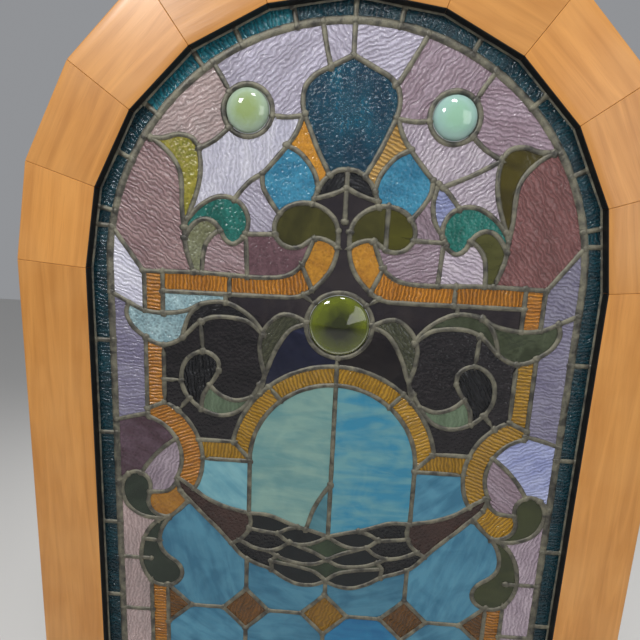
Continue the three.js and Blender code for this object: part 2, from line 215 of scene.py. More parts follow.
# Lines on the middle line, and those that the maker's hands left on one side.
SINGLE_CAMES: list[Line] = [
    [(0, 219), (0, BORDER_RADIUS)],
    [(0, -118), (0, -305)],
    [(-31, 247), (-27, 228), (-22, 209)],
    [(70, 238), (60, 220), (46, 196)],
    [(98, 99), (125, 111), (152, 126)],
    [(44, 76), (44, 33)],
    [(0, -238), (-10, -253), (-19, -272), (-26, -296)],
    [(0, 112), (0, 60)],
    [(0, -84), (0, -120)],
    [(0, -368), (0, LATTICE_TOP + LATTICE_HALF)],
    [(92, 100), (89, 80), (93, 62), (102, 49)],
    [(-173, -122), (-193, -122)],
    [(-201, -326), (-221, -325)],
]

# Places of the ties that cross the border glass: degrees along the arch, and heights down the sides.
BORDER_ANGLES = {1: (14.0, 27.0, 45.0, 63.0, 80.0), -1: (14.0, 27.0, 39.0, 54.0, 64.0, 77.0)}
BORDER_HEIGHTS = (46.0, -80.0, -190.0, -305.0, -405.0, -505.0, -605.0)
BORDER_FEET = (70.0, 150.0)


@dataclass(frozen=True)
class JewelPlace:
    """Where a pressed jewel sits.

    Attributes:
        node: the CAD node that it stands for.
        x: millimetres from the middle line.
        z: millimetres from the spring line.
        ring: radius of the middle of its came.
        rise: height of the dome over the glass.
    """

    node: str
    x: float
    z: float
    ring: float
    rise: float


JEWELS = (
    JewelPlace("opal_jewel_right", 103, 165, 25, 11),
    JewelPlace("opal_jewel_left", -103, 165, 25, 11),
    JewelPlace("centre_rondel", 0, -50, 36, 12),
)


# ---- Lines ----
def mirrored(line: Points) -> Points:
    """The line on the other side of the middle line."""
    return line * np.array([-1.0, 1.0])


def arc(centre: tuple[float, float], radius: float, start: float, stop: float, step: float = 2.5) -> Points:
    """Points along a circle.

    Args:
        centre: middle of the circle.
        radius: its radius.
        start: first angle, in degrees.
        stop: last angle, in degrees.
        step: spacing of the points.

    Returns:
        The points, one row each.
    """
    count = max(2, math.ceil(radius * math.radians(abs(stop - start)) / step) + 1)
    angle = np.radians(np.linspace(start, stop, count))
    return np.array(centre) + radius * np.column_stack([np.cos(angle), np.sin(angle)])


def divided(corners: Points, step: float) -> Points:
    """A straight-sided line with points added, so that no step is longer than the one given."""
    pieces = [corners[:1]]
    for start, stop in zip(corners[:-1], corners[1:]):
        count = max(1, math.ceil(np.linalg.norm(stop - start) / step))
        share = np.linspace(0, 1, count + 1)[1:, None]
        pieces.append(start + (stop - start) * share)
    return np.vstack(pieces)


def smooth(line: Line, step: float = 2.5) -> Points:
    """The centripetal Catmull-Rom curve through the points.

    Args:
        line: the points that it passes through. Two points give a straight line.
        step: spacing of the points of the result.

    Returns:
        The points along the curve.
    """
    points = np.array(line, float)
    if len(points) < 3:
        return divided(points, 4 * step)
    ends = [2 * points[0] - points[1], *points, 2 * points[-1] - points[-2]]
    rows = [points[:1]]
    for a, b, c, d in zip(ends, ends[1:], ends[2:], ends[3:]):
        roots = [max(np.linalg.norm(q - p), 1e-6) ** 0.5 for p, q in ((a, b), (b, c), (c, d))]
        knots = np.cumsum([0.0, *roots])
        count = max(1, round(np.linalg.norm(c - b) / step))
        t = np.linspace(knots[1], knots[2], count + 1)[1:, None]
        rows.append(_blend(knots, (a, b, c, d), t))
    return np.vstack(rows)


def _blend(knots: Points, corners: Sequence[Points], t: Points) -> Points:
    """The curve's points at the parameters t, between its two middle corners."""
    level = list(corners)
    for width in (1, 2):
        spans = [knots[i + width] - knots[i] for i in range(4 - width)]
        level = [
            ((knots[i + width] - t) * level[i] + (t - knots[i]) * level[i + 1]) / span
            for i, span in enumerate(spans)
        ]
    return ((knots[2] - t) * level[0] + (t - knots[1]) * level[1]) / (knots[2] - knots[1])


def arch_corners(margin: float) -> Points:
    """Corners of the opening grown by a margin: up the right side, over the arch and down the left."""
    half = math.pi / ARCH_BOARDS / 2
    apothem = OPENING_HALF_WIDTH * math.cos(half) + margin
    side = OPENING_HALF_WIDTH + margin
    shoulder = (apothem - side * math.cos(half)) / math.sin(half)
    foot = -OPENING_DROP - margin
    reach = apothem / math.cos(half)
    angles = [math.pi * i / ARCH_BOARDS for i in range(1, ARCH_BOARDS)]
    crown = [(reach * math.cos(a), reach * math.sin(a)) for a in angles]
    return np.array([(side, foot), (side, shoulder), *crown, (-side, shoulder), (-side, foot)])


def closed(corners: Points) -> Points:
    """The corners with the first one repeated at the end."""
    return np.vstack([corners, corners[:1]])


def diamond(x: float, z: float) -> Points:
    """A closed diamond of the lattice."""
    half = LATTICE_HALF
    return np.array([(x - half, z), (x, z + half), (x + half, z), (x, z - half), (x - half, z)])


def lattice_lines() -> list[Points]:
    """The octagon lattice: whole diamonds, halves at the strips and the foot, and the bars between."""
    pitch, half = LATTICE_PITCH, LATTICE_HALF
    edge = 2 * pitch - half
    lines: list[Line] = []
    for row in range(LATTICE_ROWS):
        z = LATTICE_TOP - row * pitch
        lines += [diamond(x, z) for x in (-pitch, 0, pitch)]
        lines += [[(x, z - half), (x, z - pitch + half)] for x in (-pitch, 0, pitch)]
        for side in (1, -1):
            strip = side * STRIP_INNER
            lines.append([(strip, z + half - 1), (side * edge, z), (strip, z - half + 1)])
            lines.append([(side * half, z), (side * (pitch - half), z)])
            lines.append([(side * (pitch + half), z), (side * edge, z)])
    for x in (-pitch, 0, pitch):
        lines.append([(x - half, FIELD_FOOT), (x, FIELD_FOOT + half), (x + half, FIELD_FOOT)])
    for side in (1, -1):
        lines.append([(side * edge, FIELD_FOOT), (side * STRIP_INNER, FIELD_FOOT + half)])
        lines.append([(side * pitch, -343), (side * pitch, LATTICE_TOP + half)])
    return [divided(np.array(line, float), 8) for line in lines]


def border_ties() -> list[Points]:
    """The short cames that cross the border glass, along the arch, down the sides and along the foot."""
    inner, outer = BORDER_RADIUS, OPENING_HALF_WIDTH + 1
    lines: list[Line] = [[(0, inner), (0, outer - 3)]]
    for side, angles in BORDER_ANGLES.items():
        for angle in np.radians(angles):
            across = np.array([side * math.cos(angle), math.sin(angle)])
            lines.append([tuple(across * inner), tuple(across * outer)])
        lines += [[(side * inner, z), (side * outer, z)] for z in BORDER_HEIGHTS]
        lines += [[(side * x, FIELD_FOOT), (side * x, -OPENING_DROP - 1)] for x in BORDER_FEET]
    lines.append([(0, FIELD_FOOT), (0, -OPENING_DROP - 1)])
    return [divided(np.array(line, float), 8) for line in lines]


@dataclass
class Came:
    """One line of lead.

    Attributes:
        points: its middle line, in millimetres.
        width: width of its leaves.
    """

    points: Points
    width: float = CAME_WIDTH

    @property
    def loops(self) -> bool:
        """Whether it ends where it starts."""
        return bool(np.allclose(self.points[0], self.points[-1], atol=1e-3))


class Pattern:
    """All the cames of the window, with the ends of each brought onto the line that it meets."""

    REACH = 6.0  # an end this near another line is led to it

    def __init__(self) -> None:
        """Draws every line."""
        self.cames: list[Came] = []
        arcs = [
            arc(SKY_CENTRE, SKY_OUTER, 90, 10),
            arc(SKY_CENTRE, SKY_INNER, 90, 0),
            arc(RING_CENTRE, RING_OUTER, 115, 207),
            arc(RING_CENTRE, RING_INNER, 105, 210),
        ]
        for line in [*map(smooth, PAIRED_CAMES), *arcs]:
            self.cames += [Came(line), Came(mirrored(line))]
        singles = [*map(smooth, SINGLE_CAMES), *lattice_lines(), *border_ties()]
        self.cames += [Came(line) for line in singles]
        self.cames += [Came(arc((jewel.x, jewel.z), jewel.ring, 0, 360)) for jewel in JEWELS]
        self.cames.append(Came(self._border(), BORDER_WIDTH))
        self.rim = Came(divided(closed(arch_corners(1)), 12))
        self._meet()

    def _border(self) -> Points:
        """The closed line of the border came."""
        crown = arc((0, 0), BORDER_RADIUS, 0, 180, 4)
        foot = np.array([(-BORDER_RADIUS, FIELD_FOOT), (BORDER_RADIUS, FIELD_FOOT)])
        return divided(closed(np.vstack([crown, foot])), 10)

    def _meet(self) -> None:
        """Leads each open end to the nearest line within reach, and a little over it."""
        others = [*self.cames, self.rim]
        starts = [came.points[:-1] for came in others]
        owner = np.concatenate([np.full(len(s), i) for i, s in enumerate(starts)])
        a, b = np.vstack(starts), np.vstack([came.points[1:] for came in others])
        for i, came in enumerate(self.cames):
            if came.loops:
                continue
            mask = owner != i
            head = self._landing(came.points[0], a[mask], b[mask])
            tail = self._landing(came.points[-1], a[mask], b[mask])
            came.points = np.vstack([head, came.points, tail])

    def _landing(self, end: Points, a: Points, b: Points) -> Points:
        """The point that leads an end onto the nearest of the segments a to b, or none."""
        along = b - a
        length = np.maximum((along**2).sum(1), 1e-9)
        share = np.clip(((end - a) * along).sum(1) / length, 0, 1)[:, None]
        foot = a + along * share
        gap = np.linalg.norm(foot - end, axis=1)
        best = int(gap.argmin())
        if gap[best] > self.REACH or gap[best] < 1e-3:
            return np.empty((0, 2))
        return (foot[best] + (foot[best] - end) / gap[best] * 0.3)[None]


@dataclass
class Pane:
    """One piece of glass.

    Attributes:
        loops: its outlines in millimetres.
        spot: a point well inside it.
    """

    loops: list[Points]
    spot: Points


class Tracing:
    """Finds the panes between the cames, as the parts of a triangulated sheet that no came crosses."""

    LEAST_AREA = 12.0
    LEAST_SIDE = 0.05  # shorter sides come from lines that cross at one point, and open no way through

    def __init__(self, pattern: Pattern) -> None:
        """Triangulates the lines and joins the triangles into panes.

        Args:
            pattern: the cames.
        """
        numbers: dict[tuple[float, float], int] = {}
        edges: list[tuple[int, int]] = []
        for came in [*pattern.cames, pattern.rim]:
            keys = [(round(float(x), 3) + 0.0, round(float(z), 3) + 0.0) for x, z in came.points]
            path = [numbers.setdefault(key, len(numbers)) for key in keys]
            edges += [(i, j) for i, j in zip(path, path[1:]) if i != j]
        made = geometry.delaunay_2d_cdt([Vector(key) for key in numbers], edges, [], 0, 1e-3, True)
        self.vertices = np.array([tuple(v) for v in made[0]])
        self.triangles = np.array([tuple(face) for face in made[2]])
        self.lead = {(min(e), max(e)) for e, sources in zip(made[1], made[4]) if sources}
        self.panes = self._panes()

    def _joined(self) -> Points:
        """A number for each triangle, shared by those that no came parts."""
        sides: dict[tuple[int, int], list[int]] = {}
        for t, triangle in enumerate(self.triangles):
            for i, j in zip(triangle, np.roll(triangle, -1)):
                sides.setdefault((min(i, j), max(i, j)), []).append(t)
        parent = list(range(len(self.triangles)))

        def root(t: int) -> int:
            """The number that stands for t's pane."""
            while parent[t] != t:
                parent[t] = parent[parent[t]]
                t = parent[t]
            return t

        for side, owners in sides.items():
            span = np.linalg.norm(self.vertices[side[0]] - self.vertices[side[1]])
            if len(owners) == 2 and side not in self.lead and span > self.LEAST_SIDE:
                parent[root(owners[0])] = root(owners[1])
        return np.array([root(t) for t in range(len(self.triangles))])

    def _panes(self) -> list[Pane]:
        """The panes inside the rim, apart from those that jewels fill."""
        pane_of = self._joined()
        a, b, c = (self.vertices[self.triangles[:, k]] for k in range(3))
        (ux, uz), (vx, vz) = (b - a).T, (c - a).T
        areas = 0.5 * np.abs(ux * vz - uz * vx)
        middles = (a + b + c) / 3
        rim = arch_corners(1)
        panes = []
        for label in np.unique(pane_of):
            mine = np.flatnonzero(pane_of == label)
            area = float(areas[mine].sum())
            spot = middles[mine[areas[mine].argmax()]]
            jewel = any(math.hypot(spot[0] - j.x, spot[1] - j.z) < j.ring for j in JEWELS)
            if area > self.LEAST_AREA and inside_loops(spot[None], [rim])[0] and not jewel:
                panes.append(Pane(self._outline(mine), spot))
        return panes

    def _outline(self, mine: Points) -> list[Points]:
        """The loops round a set of triangles."""
        corners = self.triangles[mine].tolist()
        directed = {(t[k], t[(k + 1) % 3]) for t in corners for k in range(3)}
        ahead: dict[int, list[int]] = {}
        for i, j in sorted(directed):
            if (j, i) not in directed:
                ahead.setdefault(i, []).append(j)
        loops = []
        while ahead:
            start = next(iter(ahead))
            loop = [start]
            while loop[-1] in ahead:
                options = ahead[loop[-1]]
                following = options.pop()
                if not options:
                    del ahead[loop[-1]]
                if following == start:
                    break
                loop.append(following)
            loops.append(self.vertices[loop])
        return [loop for loop in loops if len(loop) > 2]


def inside_loops(points: Points, loops: Sequence[Points]) -> Points:
    """Which points lie inside the loops, by the number of sides that a line to the right crosses."""
    inside = np.zeros(len(points), bool)
    x, z = points[:, 0, None], points[:, 1, None]
    for loop in loops:
        x0, z0 = loop[:, 0], loop[:, 1]
        x1, z1 = np.roll(x0, -1), np.roll(z0, -1)
        spans = (z0 > z) != (z1 > z)
        rise = np.where(z1 == z0, 1e-12, z1 - z0)
        crossing = x0 + (z - z0) * (x1 - x0) / rise
        inside ^= (spans & (x < crossing)).sum(1) % 2 == 1
    return inside


def distance_to_loops(points: Points, loops: Sequence[Points]) -> Points:
    """The distance of each point from the nearest side of the loops."""
    best = np.full(len(points), 1e9)
    for loop in loops:
        a, b = loop, np.roll(loop, -1, axis=0)
        along = b - a
        length = np.maximum((along**2).sum(1), 1e-9)
        share = np.clip(((points[:, None] - a) * along).sum(2) / length, 0, 1)
        foot = a + along * share[..., None]
        best = np.minimum(best, np.linalg.norm(points[:, None] - foot, axis=2).min(1))
    return best


# ---- Meshes ----
class Mould:
    """Gathers closed shells in millimetres and casts them as one object in metres."""

    def __init__(self) -> None:
        """Starts empty."""
        self.points: list[Points] = []
        self.faces: list[tuple[int, ...]] = []
        self.slots: list[int] = []
        self.sheet: list[Points] = []
        self.tone: list[Points] = []
        self.count = 0

    def add(
        self,
        points: Points,
        faces: Iterable[Sequence[int]],
        slots: int | list[int],
        sheet: Points,
        tone: float,
    ) -> None:
        """Adds a shell.

        Args:
            points: corners as (x, y, z), with z from the spring line.
            faces: corner numbers of each face.
            slots: number of its material, or one for each face.
            sheet: the place of each corner in its material, in millimetres.
            tone: its lightness among its neighbours, from -1 to 1.
        """
        made = [tuple(int(i) + self.count for i in face) for face in faces]
        self.points.append(points)
        self.faces += made
        self.slots += slots if isinstance(slots, list) else [slots] * len(made)
        self.sheet.append(sheet)
        self.tone.append(np.full(len(points), tone))
        self.count += len(points)

    def cast(
        self, name: str, materials: Sequence[bpy.types.Material], sharp: float = SHARP
    ) -> bpy.types.Object:
        """Makes the object.

        Args:
            name: its name.
            materials: one for each slot.
            sharp: edges that turn more than this many degrees stay sharp.

        Returns:
            The object, in the scene.
        """
        points = (np.vstack(self.points) + np.array([0, 0, SPRING])) * MM
        mesh = bpy.data.meshes.new(name)
        mesh.from_pydata(points.tolist(), [], self.faces)
        for material in materials:
            mesh.materials.append(material)
        mesh.polygons.foreach_set("material_index", self.slots)
        mesh.polygons.foreach_set("use_smooth", [True] * len(self.faces))
        sheet = mesh.attributes.new("sheet", "FLOAT_VECTOR", "POINT")
        sheet.data.foreach_set("vector", np.vstack(self.sheet).ravel())
        tone = mesh.attributes.new("tone", "FLOAT", "POINT")
        tone.data.foreach_set("value", np.concatenate(self.tone))
        mesh.update()
        mesh.set_sharp_from_angle(angle=math.radians(sharp))
        thing = bpy.data.objects.new(name, mesh)
        bpy.context.scene.collection.objects.link(thing)
        return thing


def ring_faces(count: int, around: int, loops: bool) -> list[tuple[int, ...]]:
    """The faces of a tube.

    Args:
        count: how many sections it has.
        around: corners of a section.
        loops: whether the last section joins the first. Otherwise both ends are capped.

    Returns:
        The corner numbers of each face.
    """
    faces: list[tuple[int, ...]] = []
    sides = [(k, (k + 1) % around) for k in range(around)]
    for i in range(count if loops else count - 1):
        here, there = i * around, (i + 1) % count * around
        faces += [(here + j, here + k, there + k, there + j) for j, k in sides]
    if not loops:
        faces += [tuple(range(around))[::-1], tuple((count - 1) * around + k for k in range(around))]
    return faces


# ---- Shader maths ----
class Value:
    """A socket's value in shader maths: an expression on values adds its Math nodes."""

    def __init__(self, recipe: "Recipe", socket: bpy.types.NodeSocket) -> None:
        """Wraps a socket of a recipe."""
        self.recipe = recipe
        self.socket = socket

    def _math(self, operation: str, first: "Value | float", second: "Value | float") -> "Value":
        """The value that a Math node gives."""
        return self.recipe.add("ShaderNodeMath", {"operation": operation}, {0: first, 1: second})

    def __add__(self, other: "Value | float") -> "Value":
        """Sum."""
        return self._math("ADD", self, other)

    __radd__ = __add__

    def __sub__(self, other: "Value | float") -> "Value":
        """Difference."""
        return self._math("SUBTRACT", self, other)

    def __rsub__(self, other: float) -> "Value":
        """Difference the other way round."""
        return self._math("SUBTRACT", other, self)

    def __mul__(self, other: "Value | float") -> "Value":
        """Product."""
        return self._math("MULTIPLY", self, other)

    __rmul__ = __mul__


def paint(hexadecimal: str) -> tuple[float, float, float, float]:
    """A colour given as six hexadecimal digits, in the shader's linear values."""
    parts = [int(hexadecimal[i : i + 2], 16) / 255 for i in (0, 2, 4)]
    red, green, blue = (p / 12.92 if p <= 0.04045 else ((p + 0.055) / 1.055) ** 2.4 for p in parts)
    return (red, green, blue, 1.0)


class Recipe:
    """A material's node tree, built node by node around its Principled shader."""

    def __init__(self, name: str) -> None:
        """Starts a material with a plain Principled shader."""
        self.material = bpy.data.materials.new(name)
        self.material.use_nodes = True
        self.tree = self.material.node_tree
        self.shader = self.tree.nodes["Principled BSDF"]

    def add(
        self, kind: str, settings: dict | None = None, inputs: dict | None = None, out: int | str = 0
    ) -> Value:
        """Adds a node.

        Args:
            kind: its type.
            settings: its own settings, set first.
            inputs: a value or a link for each of its sockets, by name or number.
            out: the output that is returned.

        Returns:
            The output's value.
        """
        node = self.tree.nodes.new(kind)
        for key, setting in (settings or {}).items():
            setattr(node, key, setting)
        for key, value in (inputs or {}).items():
            self._feed(node.inputs[key], value)
        return Value(self, node.outputs[out])

    def _feed(self, socket: bpy.types.NodeSocket, value: object) -> None:
        """Links a value to a socket, or sets the socket."""
        if isinstance(value, Value):
            self.tree.links.new(value.socket, socket)
        else:
            socket.default_value = value

    def finish(self, **inputs: object) -> bpy.types.Material:
        """Sets the shader's sockets, named with underscores for spaces, and returns the material."""
        for key, value in inputs.items():
            self._feed(self.shader.inputs[key.replace("_", " ")], value)
        return self.material

    def attribute(self, name: str, out: str = "Fac") -> Value:
        """A named value of the mesh."""
        return self.add("ShaderNodeAttribute", {"attribute_name": name}, out=out)

    def stretched(self, place: Value, scale: tuple[float, float, float], turn: float = 0.0) -> Value:
        """Coordinates scaled along each axis, and turned by some degrees in the plane of the sheet."""
        return self.add("ShaderNodeMapping", {}, {0: place, 2: (0.0, 0.0, math.radians(turn)), 3: scale})

    def noise(self, place: Value, scale: float, detail: float = 2.0, twist: float = 0.0) -> Value:
        """Soft noise around 0.5."""
        inputs = {"Vector": place, "Scale": scale, "Detail": detail, "Distortion": twist}
        return self.add("ShaderNodeTexNoise", {}, inputs)

    def waves(self, place: Value, scale: float, twist: float, axis: str = "X") -> Value:
        """Bands across an axis, bent by noise."""
        settings = {"wave_type": "BANDS", "bands_direction": axis}
        inputs = {"Vector": place, "Scale": scale, "Distortion": twist, "Detail": 2.0, "Detail Scale": 1.4}
        return self.add("ShaderNodeTexWave", settings, inputs, out="Fac")

    def cells(self, place: Value, scale: float) -> Value:
        """The distance from the middle of rounded cells."""
        inputs = {"Vector": place, "Scale": scale, "Smoothness": 0.6}
        return self.add("ShaderNodeTexVoronoi", {"feature": "SMOOTH_F1"}, inputs)

    def mix(self, share: "Value | float", first: object, second: object, blend: str = "MIX") -> Value:
        """Two colours mixed."""
        settings = {"data_type": "RGBA", "blend_type": blend}
        return self.add("ShaderNodeMix", settings, {0: share, 6: first, 7: second}, out=2)

    def range(self, value: Value, low: float, high: float) -> Value:
        """The value's share of the way from low to high, kept between 0 and 1."""
        return self.add("ShaderNodeMapRange", {}, {0: value, 1: low, 2: high})

    def grey(self, value: Value) -> Value:
        """A value as a grey colour."""
        return self.add("ShaderNodeCombineColor", {}, {0: value, 1: value, 2: value})

    def bump(self, height: Value, depth: float) -> Value:
        """A normal from a height between 0 and 1 that stands for this many millimetres."""
        return self.add("ShaderNodeBump", {}, {"Height": height, "Distance": depth * MM, "Strength": 1.0})


class Texture(Enum):
    """How a sheet of glass was rolled."""

    HAMMERED = "small dents"
    RIPPLED = "wandering ridges"
    RIBBED = "straight ridges"
    STREAKY = "drawn smooth, with streaks of colour"
    SMOOTH = "nearly flat"


@dataclass(frozen=True)
class Glass:
    """A sheet of coloured glass.

    Attributes:
        name: name of its material.
        tint: its colour.
        accent: the colour of its streaks and clouds.
        texture: how it was rolled.
        clear: how much light passes through it.
        turn: degrees that its ridges are turned from the pane's own direction.
        depth: millimetres of relief.
        painted_glints_and_shade: how much the colour is painted lighter on the crests of the relief, as
            painted highlights, and darker in its hollows, as painted shade.
        shine: how much the small relief is strengthened.
    """

    name: str
    tint: str
    accent: str
    texture: Texture
    clear: float = 0.25
    turn: float = 0.0
    depth: float = 0.5
    painted_glints_and_shade: float = 0.25
    shine: float = 1.7

    def _height(self, recipe: Recipe, place: Value) -> Value:
        """The relief between 0 and 1."""
        if self.texture is Texture.HAMMERED:
            return recipe.cells(place, 0.3) * 0.8 + recipe.noise(place, 0.45, 3.0) * 0.6
        if self.texture is Texture.RIPPLED:
            return recipe.waves(place, 0.07, 7.5) * 0.55 + recipe.noise(place, 0.42, 3.0) * 0.75
        if self.texture is Texture.RIBBED:
            return recipe.waves(place, 0.078, 4.0) * 0.7 + recipe.noise(place, 0.42, 3.0) * 0.6
        if self.texture is Texture.STREAKY:
            return recipe.noise(recipe.stretched(place, (0.09, 0.03, 0.05)), 1.0, 3.0, 0.6)
        return recipe.noise(place, 0.07, 2.0, 0.4)

    def material(self) -> bpy.types.Material:
        """Makes the material."""
        recipe = Recipe(self.name)
        sheet = recipe.attribute("sheet", "Vector")
        place = recipe.stretched(sheet, (1, 1, 1), self.turn)
        streaks = recipe.noise(recipe.stretched(place, (0.075, 0.018, 0.05)), 1.0, 4.0, 0.5)
        clouds = recipe.noise(place, 0.028, 3.0, 0.8)
        share = recipe.range(streaks * 0.6 + clouds * 0.4, 0.4, 0.6)
        height = self._height(recipe, place)
        colour = recipe.mix(share, paint(self.tint), paint(self.accent))
        # The pane's random tone, plus painted highlights on the crests of the relief and painted shade in
        # its hollows.
        light = recipe.attribute("tone") * 0.16 + 0.96 + (height - 0.5) * self.painted_glints_and_shade * 1.8
        colour = recipe.mix(1.0, colour, recipe.grey(light), "MULTIPLY")
        return recipe.finish(
            Base_Color=colour,
            Roughness=0.13,
            IOR=1.5,
            Transmission_Weight=self.clear,
            Normal=recipe.bump(height, self.depth * self.shine),
        )


def ridges(texture: Texture, u: Points, v: Points) -> Points:
    """The real relief of a sheet at its own coordinates, with waves and heights in millimetres."""
    tau = 2 * math.pi
    if texture is Texture.HAMMERED:
        dents = np.sin(tau * u / 8.3 + 1.6 * np.sin(tau * v / 19))
        return 0.16 * dents * np.sin(tau * v / 7.4 + 1.3 * np.sin(tau * u / 17))
    if texture is Texture.RIPPLED:
        bend = 1.7 * np.sin(tau * v / 27) + 0.9 * np.sin(tau * (v + u) / 13.7)
        return 0.18 * np.sin(tau * u / 7.6 + bend) * (0.75 + 0.25 * np.sin(tau * v / 21))
    if texture is Texture.RIBBED:
        return 0.18 * np.sin(tau * u / 7.0 + 0.6 * np.sin(tau * v / 24))
    if texture is Texture.STREAKY:
        return 0.06 * np.sin(tau * u / 31 + 0.8 * np.sin(tau * v / 47))
    return 0.05 * np.sin(tau * (u + v) / 29)


HAMMERED, RIPPLED, RIBBED, STREAKY, SMOOTH = Texture

PALMETTE_TEAL = Glass("teal_hammered_glass", "0f4152", "0a2c3c", HAMMERED, 0.35, 90, 0.7, 0.5)
BORDER_TEAL = Glass("border_teal_glass", "0c2a33", "123c46", RIPPLED, 0.35, 0, 0.7, 0.5)
BRIGHT_TEAL = Glass("bright_teal_glass", "155a68", "1d7480", RIPPLED, 0.35, 0, 0.7, 0.5)
LAVENDER = Glass("lavender_glass", "a59fae", "b9b3c4", RIPPLED, 0.15, 60, 0.8, 0.3)
PALE_LAVENDER = Glass("pale_lavender_glass", "c3c1d2", "d8d6e2", RIPPLED, 0.12, 40, 0.7, 0.25)
ROSE = Glass("rose_glass", "b59f9c", "a4928f", RIPPLED, 0.15, 100, 0.7, 0.3)
PINK_RIBBED = Glass("pink_ribbed_glass", "b0a3b0", "c2b6c0", RIPPLED, 0.12, 10, 0.9, 0.35)
MAUVE = Glass("mauve_glass", "8d7374", "9c8588", RIPPLED, 0.15, 30, 0.8, 0.35)
MAUVE_GREY = Glass("mauve_grey_glass", "8a7680", "9c8a95", RIPPLED, 0.15, 60, 0.8, 0.3)
PINK_MAUVE = Glass("pink_mauve_glass", "a08483", "8b6f70", RIPPLED, 0.15, 45, 0.8, 0.35)
MAUVE_BROWN = Glass("mauve_brown_glass", "6f4a48", "805654", RIPPLED, 0.2, 45, 0.8, 0.35)
DEEP_MAUVE = Glass("deep_mauve_glass", "664a50", "775a60", HAMMERED, 0.2, 0, 0.6, 0.3)
PLUM = Glass("plum_glass", "4c373f", "65505c", HAMMERED, 0.25, 0, 0.7, 0.35)
PETAL_BLUE = Glass("petal_blue_glass", "2f6f8c", "4288a4", HAMMERED, 0.2, 0, 0.6, 0.3)
LIGHT_OLIVE = Glass("light_olive_glass", "7f7a2c", "93893a", HAMMERED, 0.25, 0, 0.6, 0.4)
DARK_OLIVE = Glass("dark_olive_glass", "4a4216", "3a3312", SMOOTH, 0.35, 0, 0.4, 0.1)
SCROLL_OLIVE = Glass("scroll_olive_glass", "3a381a", "4d4a22", SMOOTH, 0.35, 0, 0.3, 0.1)
SCROLL_GREEN = Glass("scroll_green_glass", "55531a", "454216", SMOOTH, 0.35, 0, 0.3, 0.1)
SCROLL_TEAL = Glass("scroll_teal_glass", "1c5c52", "297066", HAMMERED, 0.25, 0, 0.6, 0.4)
SAGE = Glass("sage_glass", "80826a", "6b6c50", HAMMERED, 0.25, 0, 0.7, 0.5)
COMMA_OLIVE = Glass("comma_olive_glass", "54532c", "454522", SMOOTH, 0.3, 0, 0.4, 0.1)
AMBER = Glass("amber_glass", "9c6422", "b37628", RIBBED, 0.3, 0, 0.8, 0.5)
AMBER_FLECKED = Glass("flecked_amber_glass", "a5702a", "b8822f", HAMMERED, 0.3, 0, 0.5, 0.3)
PALE_AMBER = Glass("pale_amber_glass", "a98242", "bd9654", RIBBED, 0.25, 0, 0.8, 0.5)
GOLD = Glass("gold_glass", "96701c", "a98026", RIBBED, 0.3, 0, 0.7, 0.5)
SMOKE = Glass("smoke_glass", "221e22", "2c2728", SMOOTH, 0.5, 0, 0.3, 0.2)
SMOKE_ROUGH = Glass("rough_smoke_glass", "1a181b", "272326", HAMMERED, 0.45, 0, 0.6, 0.4)
INDIGO = Glass("indigo_glass", "1d2136", "272a40", SMOOTH, 0.45, 0, 0.3, 0.2)
BLACK_RIBBED = Glass("black_ribbed_glass", "0b0c0f", "15161a", RIBBED, 0.4, 70, 1.0, 0.5)
BLACK_HAMMERED = Glass("black_hammered_glass", "0d0d10", "17161a", HAMMERED, 0.4, 0, 0.8, 0.5)
SPARKLE = Glass("sparkling_blue_glass", "7f9ca3", "99b3b7", HAMMERED, 0.2, 0, 1.0, 0.6)
LEAF_OLIVE = Glass("leaf_olive_glass", "3c4230", "4c5340", SMOOTH, 0.35, 0, 0.5, 0.2)
BUD = Glass("bud_glass", "4b4c3a", "3c3e2e", RIPPLED, 0.35, 90, 0.5, 0.4)
COMMA_SAGE = Glass("pale_sage_glass", "5f7058", "73866c", RIPPLED, 0.25, 0, 0.4, 0.2)
SKY_GREEN = Glass("sky_green_glass", "6d9c9c", "8bb0a6", STREAKY, 0.12, 0, 0.3, 0.1)
SKY_BLUE = Glass("sky_blue_glass", "3d93b4", "74adb4", STREAKY, 0.12, 0, 0.3, 0.1)
SKY_PALE = Glass("sky_pale_glass", "5f97a6", "7badb5", STREAKY, 0.12, 90, 0.3, 0.1)
LAKE = Glass("lake_glass", "35708c", "528ea6", STREAKY, 0.12, 90, 0.3, 0.1)
LAKE_BRIGHT = Glass("bright_lake_glass", "1a6796", "2f82ac", STREAKY, 0.15, 90, 0.3, 0.1)
SAIL = Glass("sail_glass", "3e6f7c", "55868f", STREAKY, 0.12, 20, 0.3, 0.1)
DIAMOND_AMBER = Glass("diamond_amber_glass", "5c3d1a", "734c20", RIPPLED, 0.3, 20, 0.7, 0.4)
DIAMOND_GOLD = Glass("diamond_gold_glass", "8a6219", "99701f", RIPPLED, 0.3, 20, 0.7, 0.4)
HULL = Glass("hull_glass", "070f13", "0d191e", SMOOTH, 0.4, 0, 0.4, 0.2)
HULL_ROUGH = Glass("hull_rough_glass", "0b0d10", "15161a", HAMMERED, 0.4, 0, 0.9, 0.5)
HULL_GREEN = Glass("hull_green_glass", "2c3a28", "3a4a34", SMOOTH, 0.3, 0, 0.3, 0.2)
PROW = Glass("prow_glass", "33231f", "45302a", HAMMERED, 0.3, 0, 0.8, 0.4)
HOOK_GREEN = Glass("hook_green_glass", "1f2a1f", "2b372a", SMOOTH, 0.35, 0, 0.5, 0.2)
HOOK_OLIVE = Glass("hook_olive_glass", "424825", "333a1c", SMOOTH, 0.35, 0, 0.5, 0.2)
SIDE_GREY = Glass("side_grey_glass", "77728a", "8a869a", RIPPLED, 0.15, 0, 0.6, 0.3)
SIDE_BLUE = Glass("side_blue_glass", "8c93bc", "a8aed0", RIPPLED, 0.12, 0, 0.6, 0.3)
SIDE_PINK = Glass("side_pink_glass", "9a8a95", "b0a0aa", RIPPLED, 0.12, 90, 0.8, 0.35)


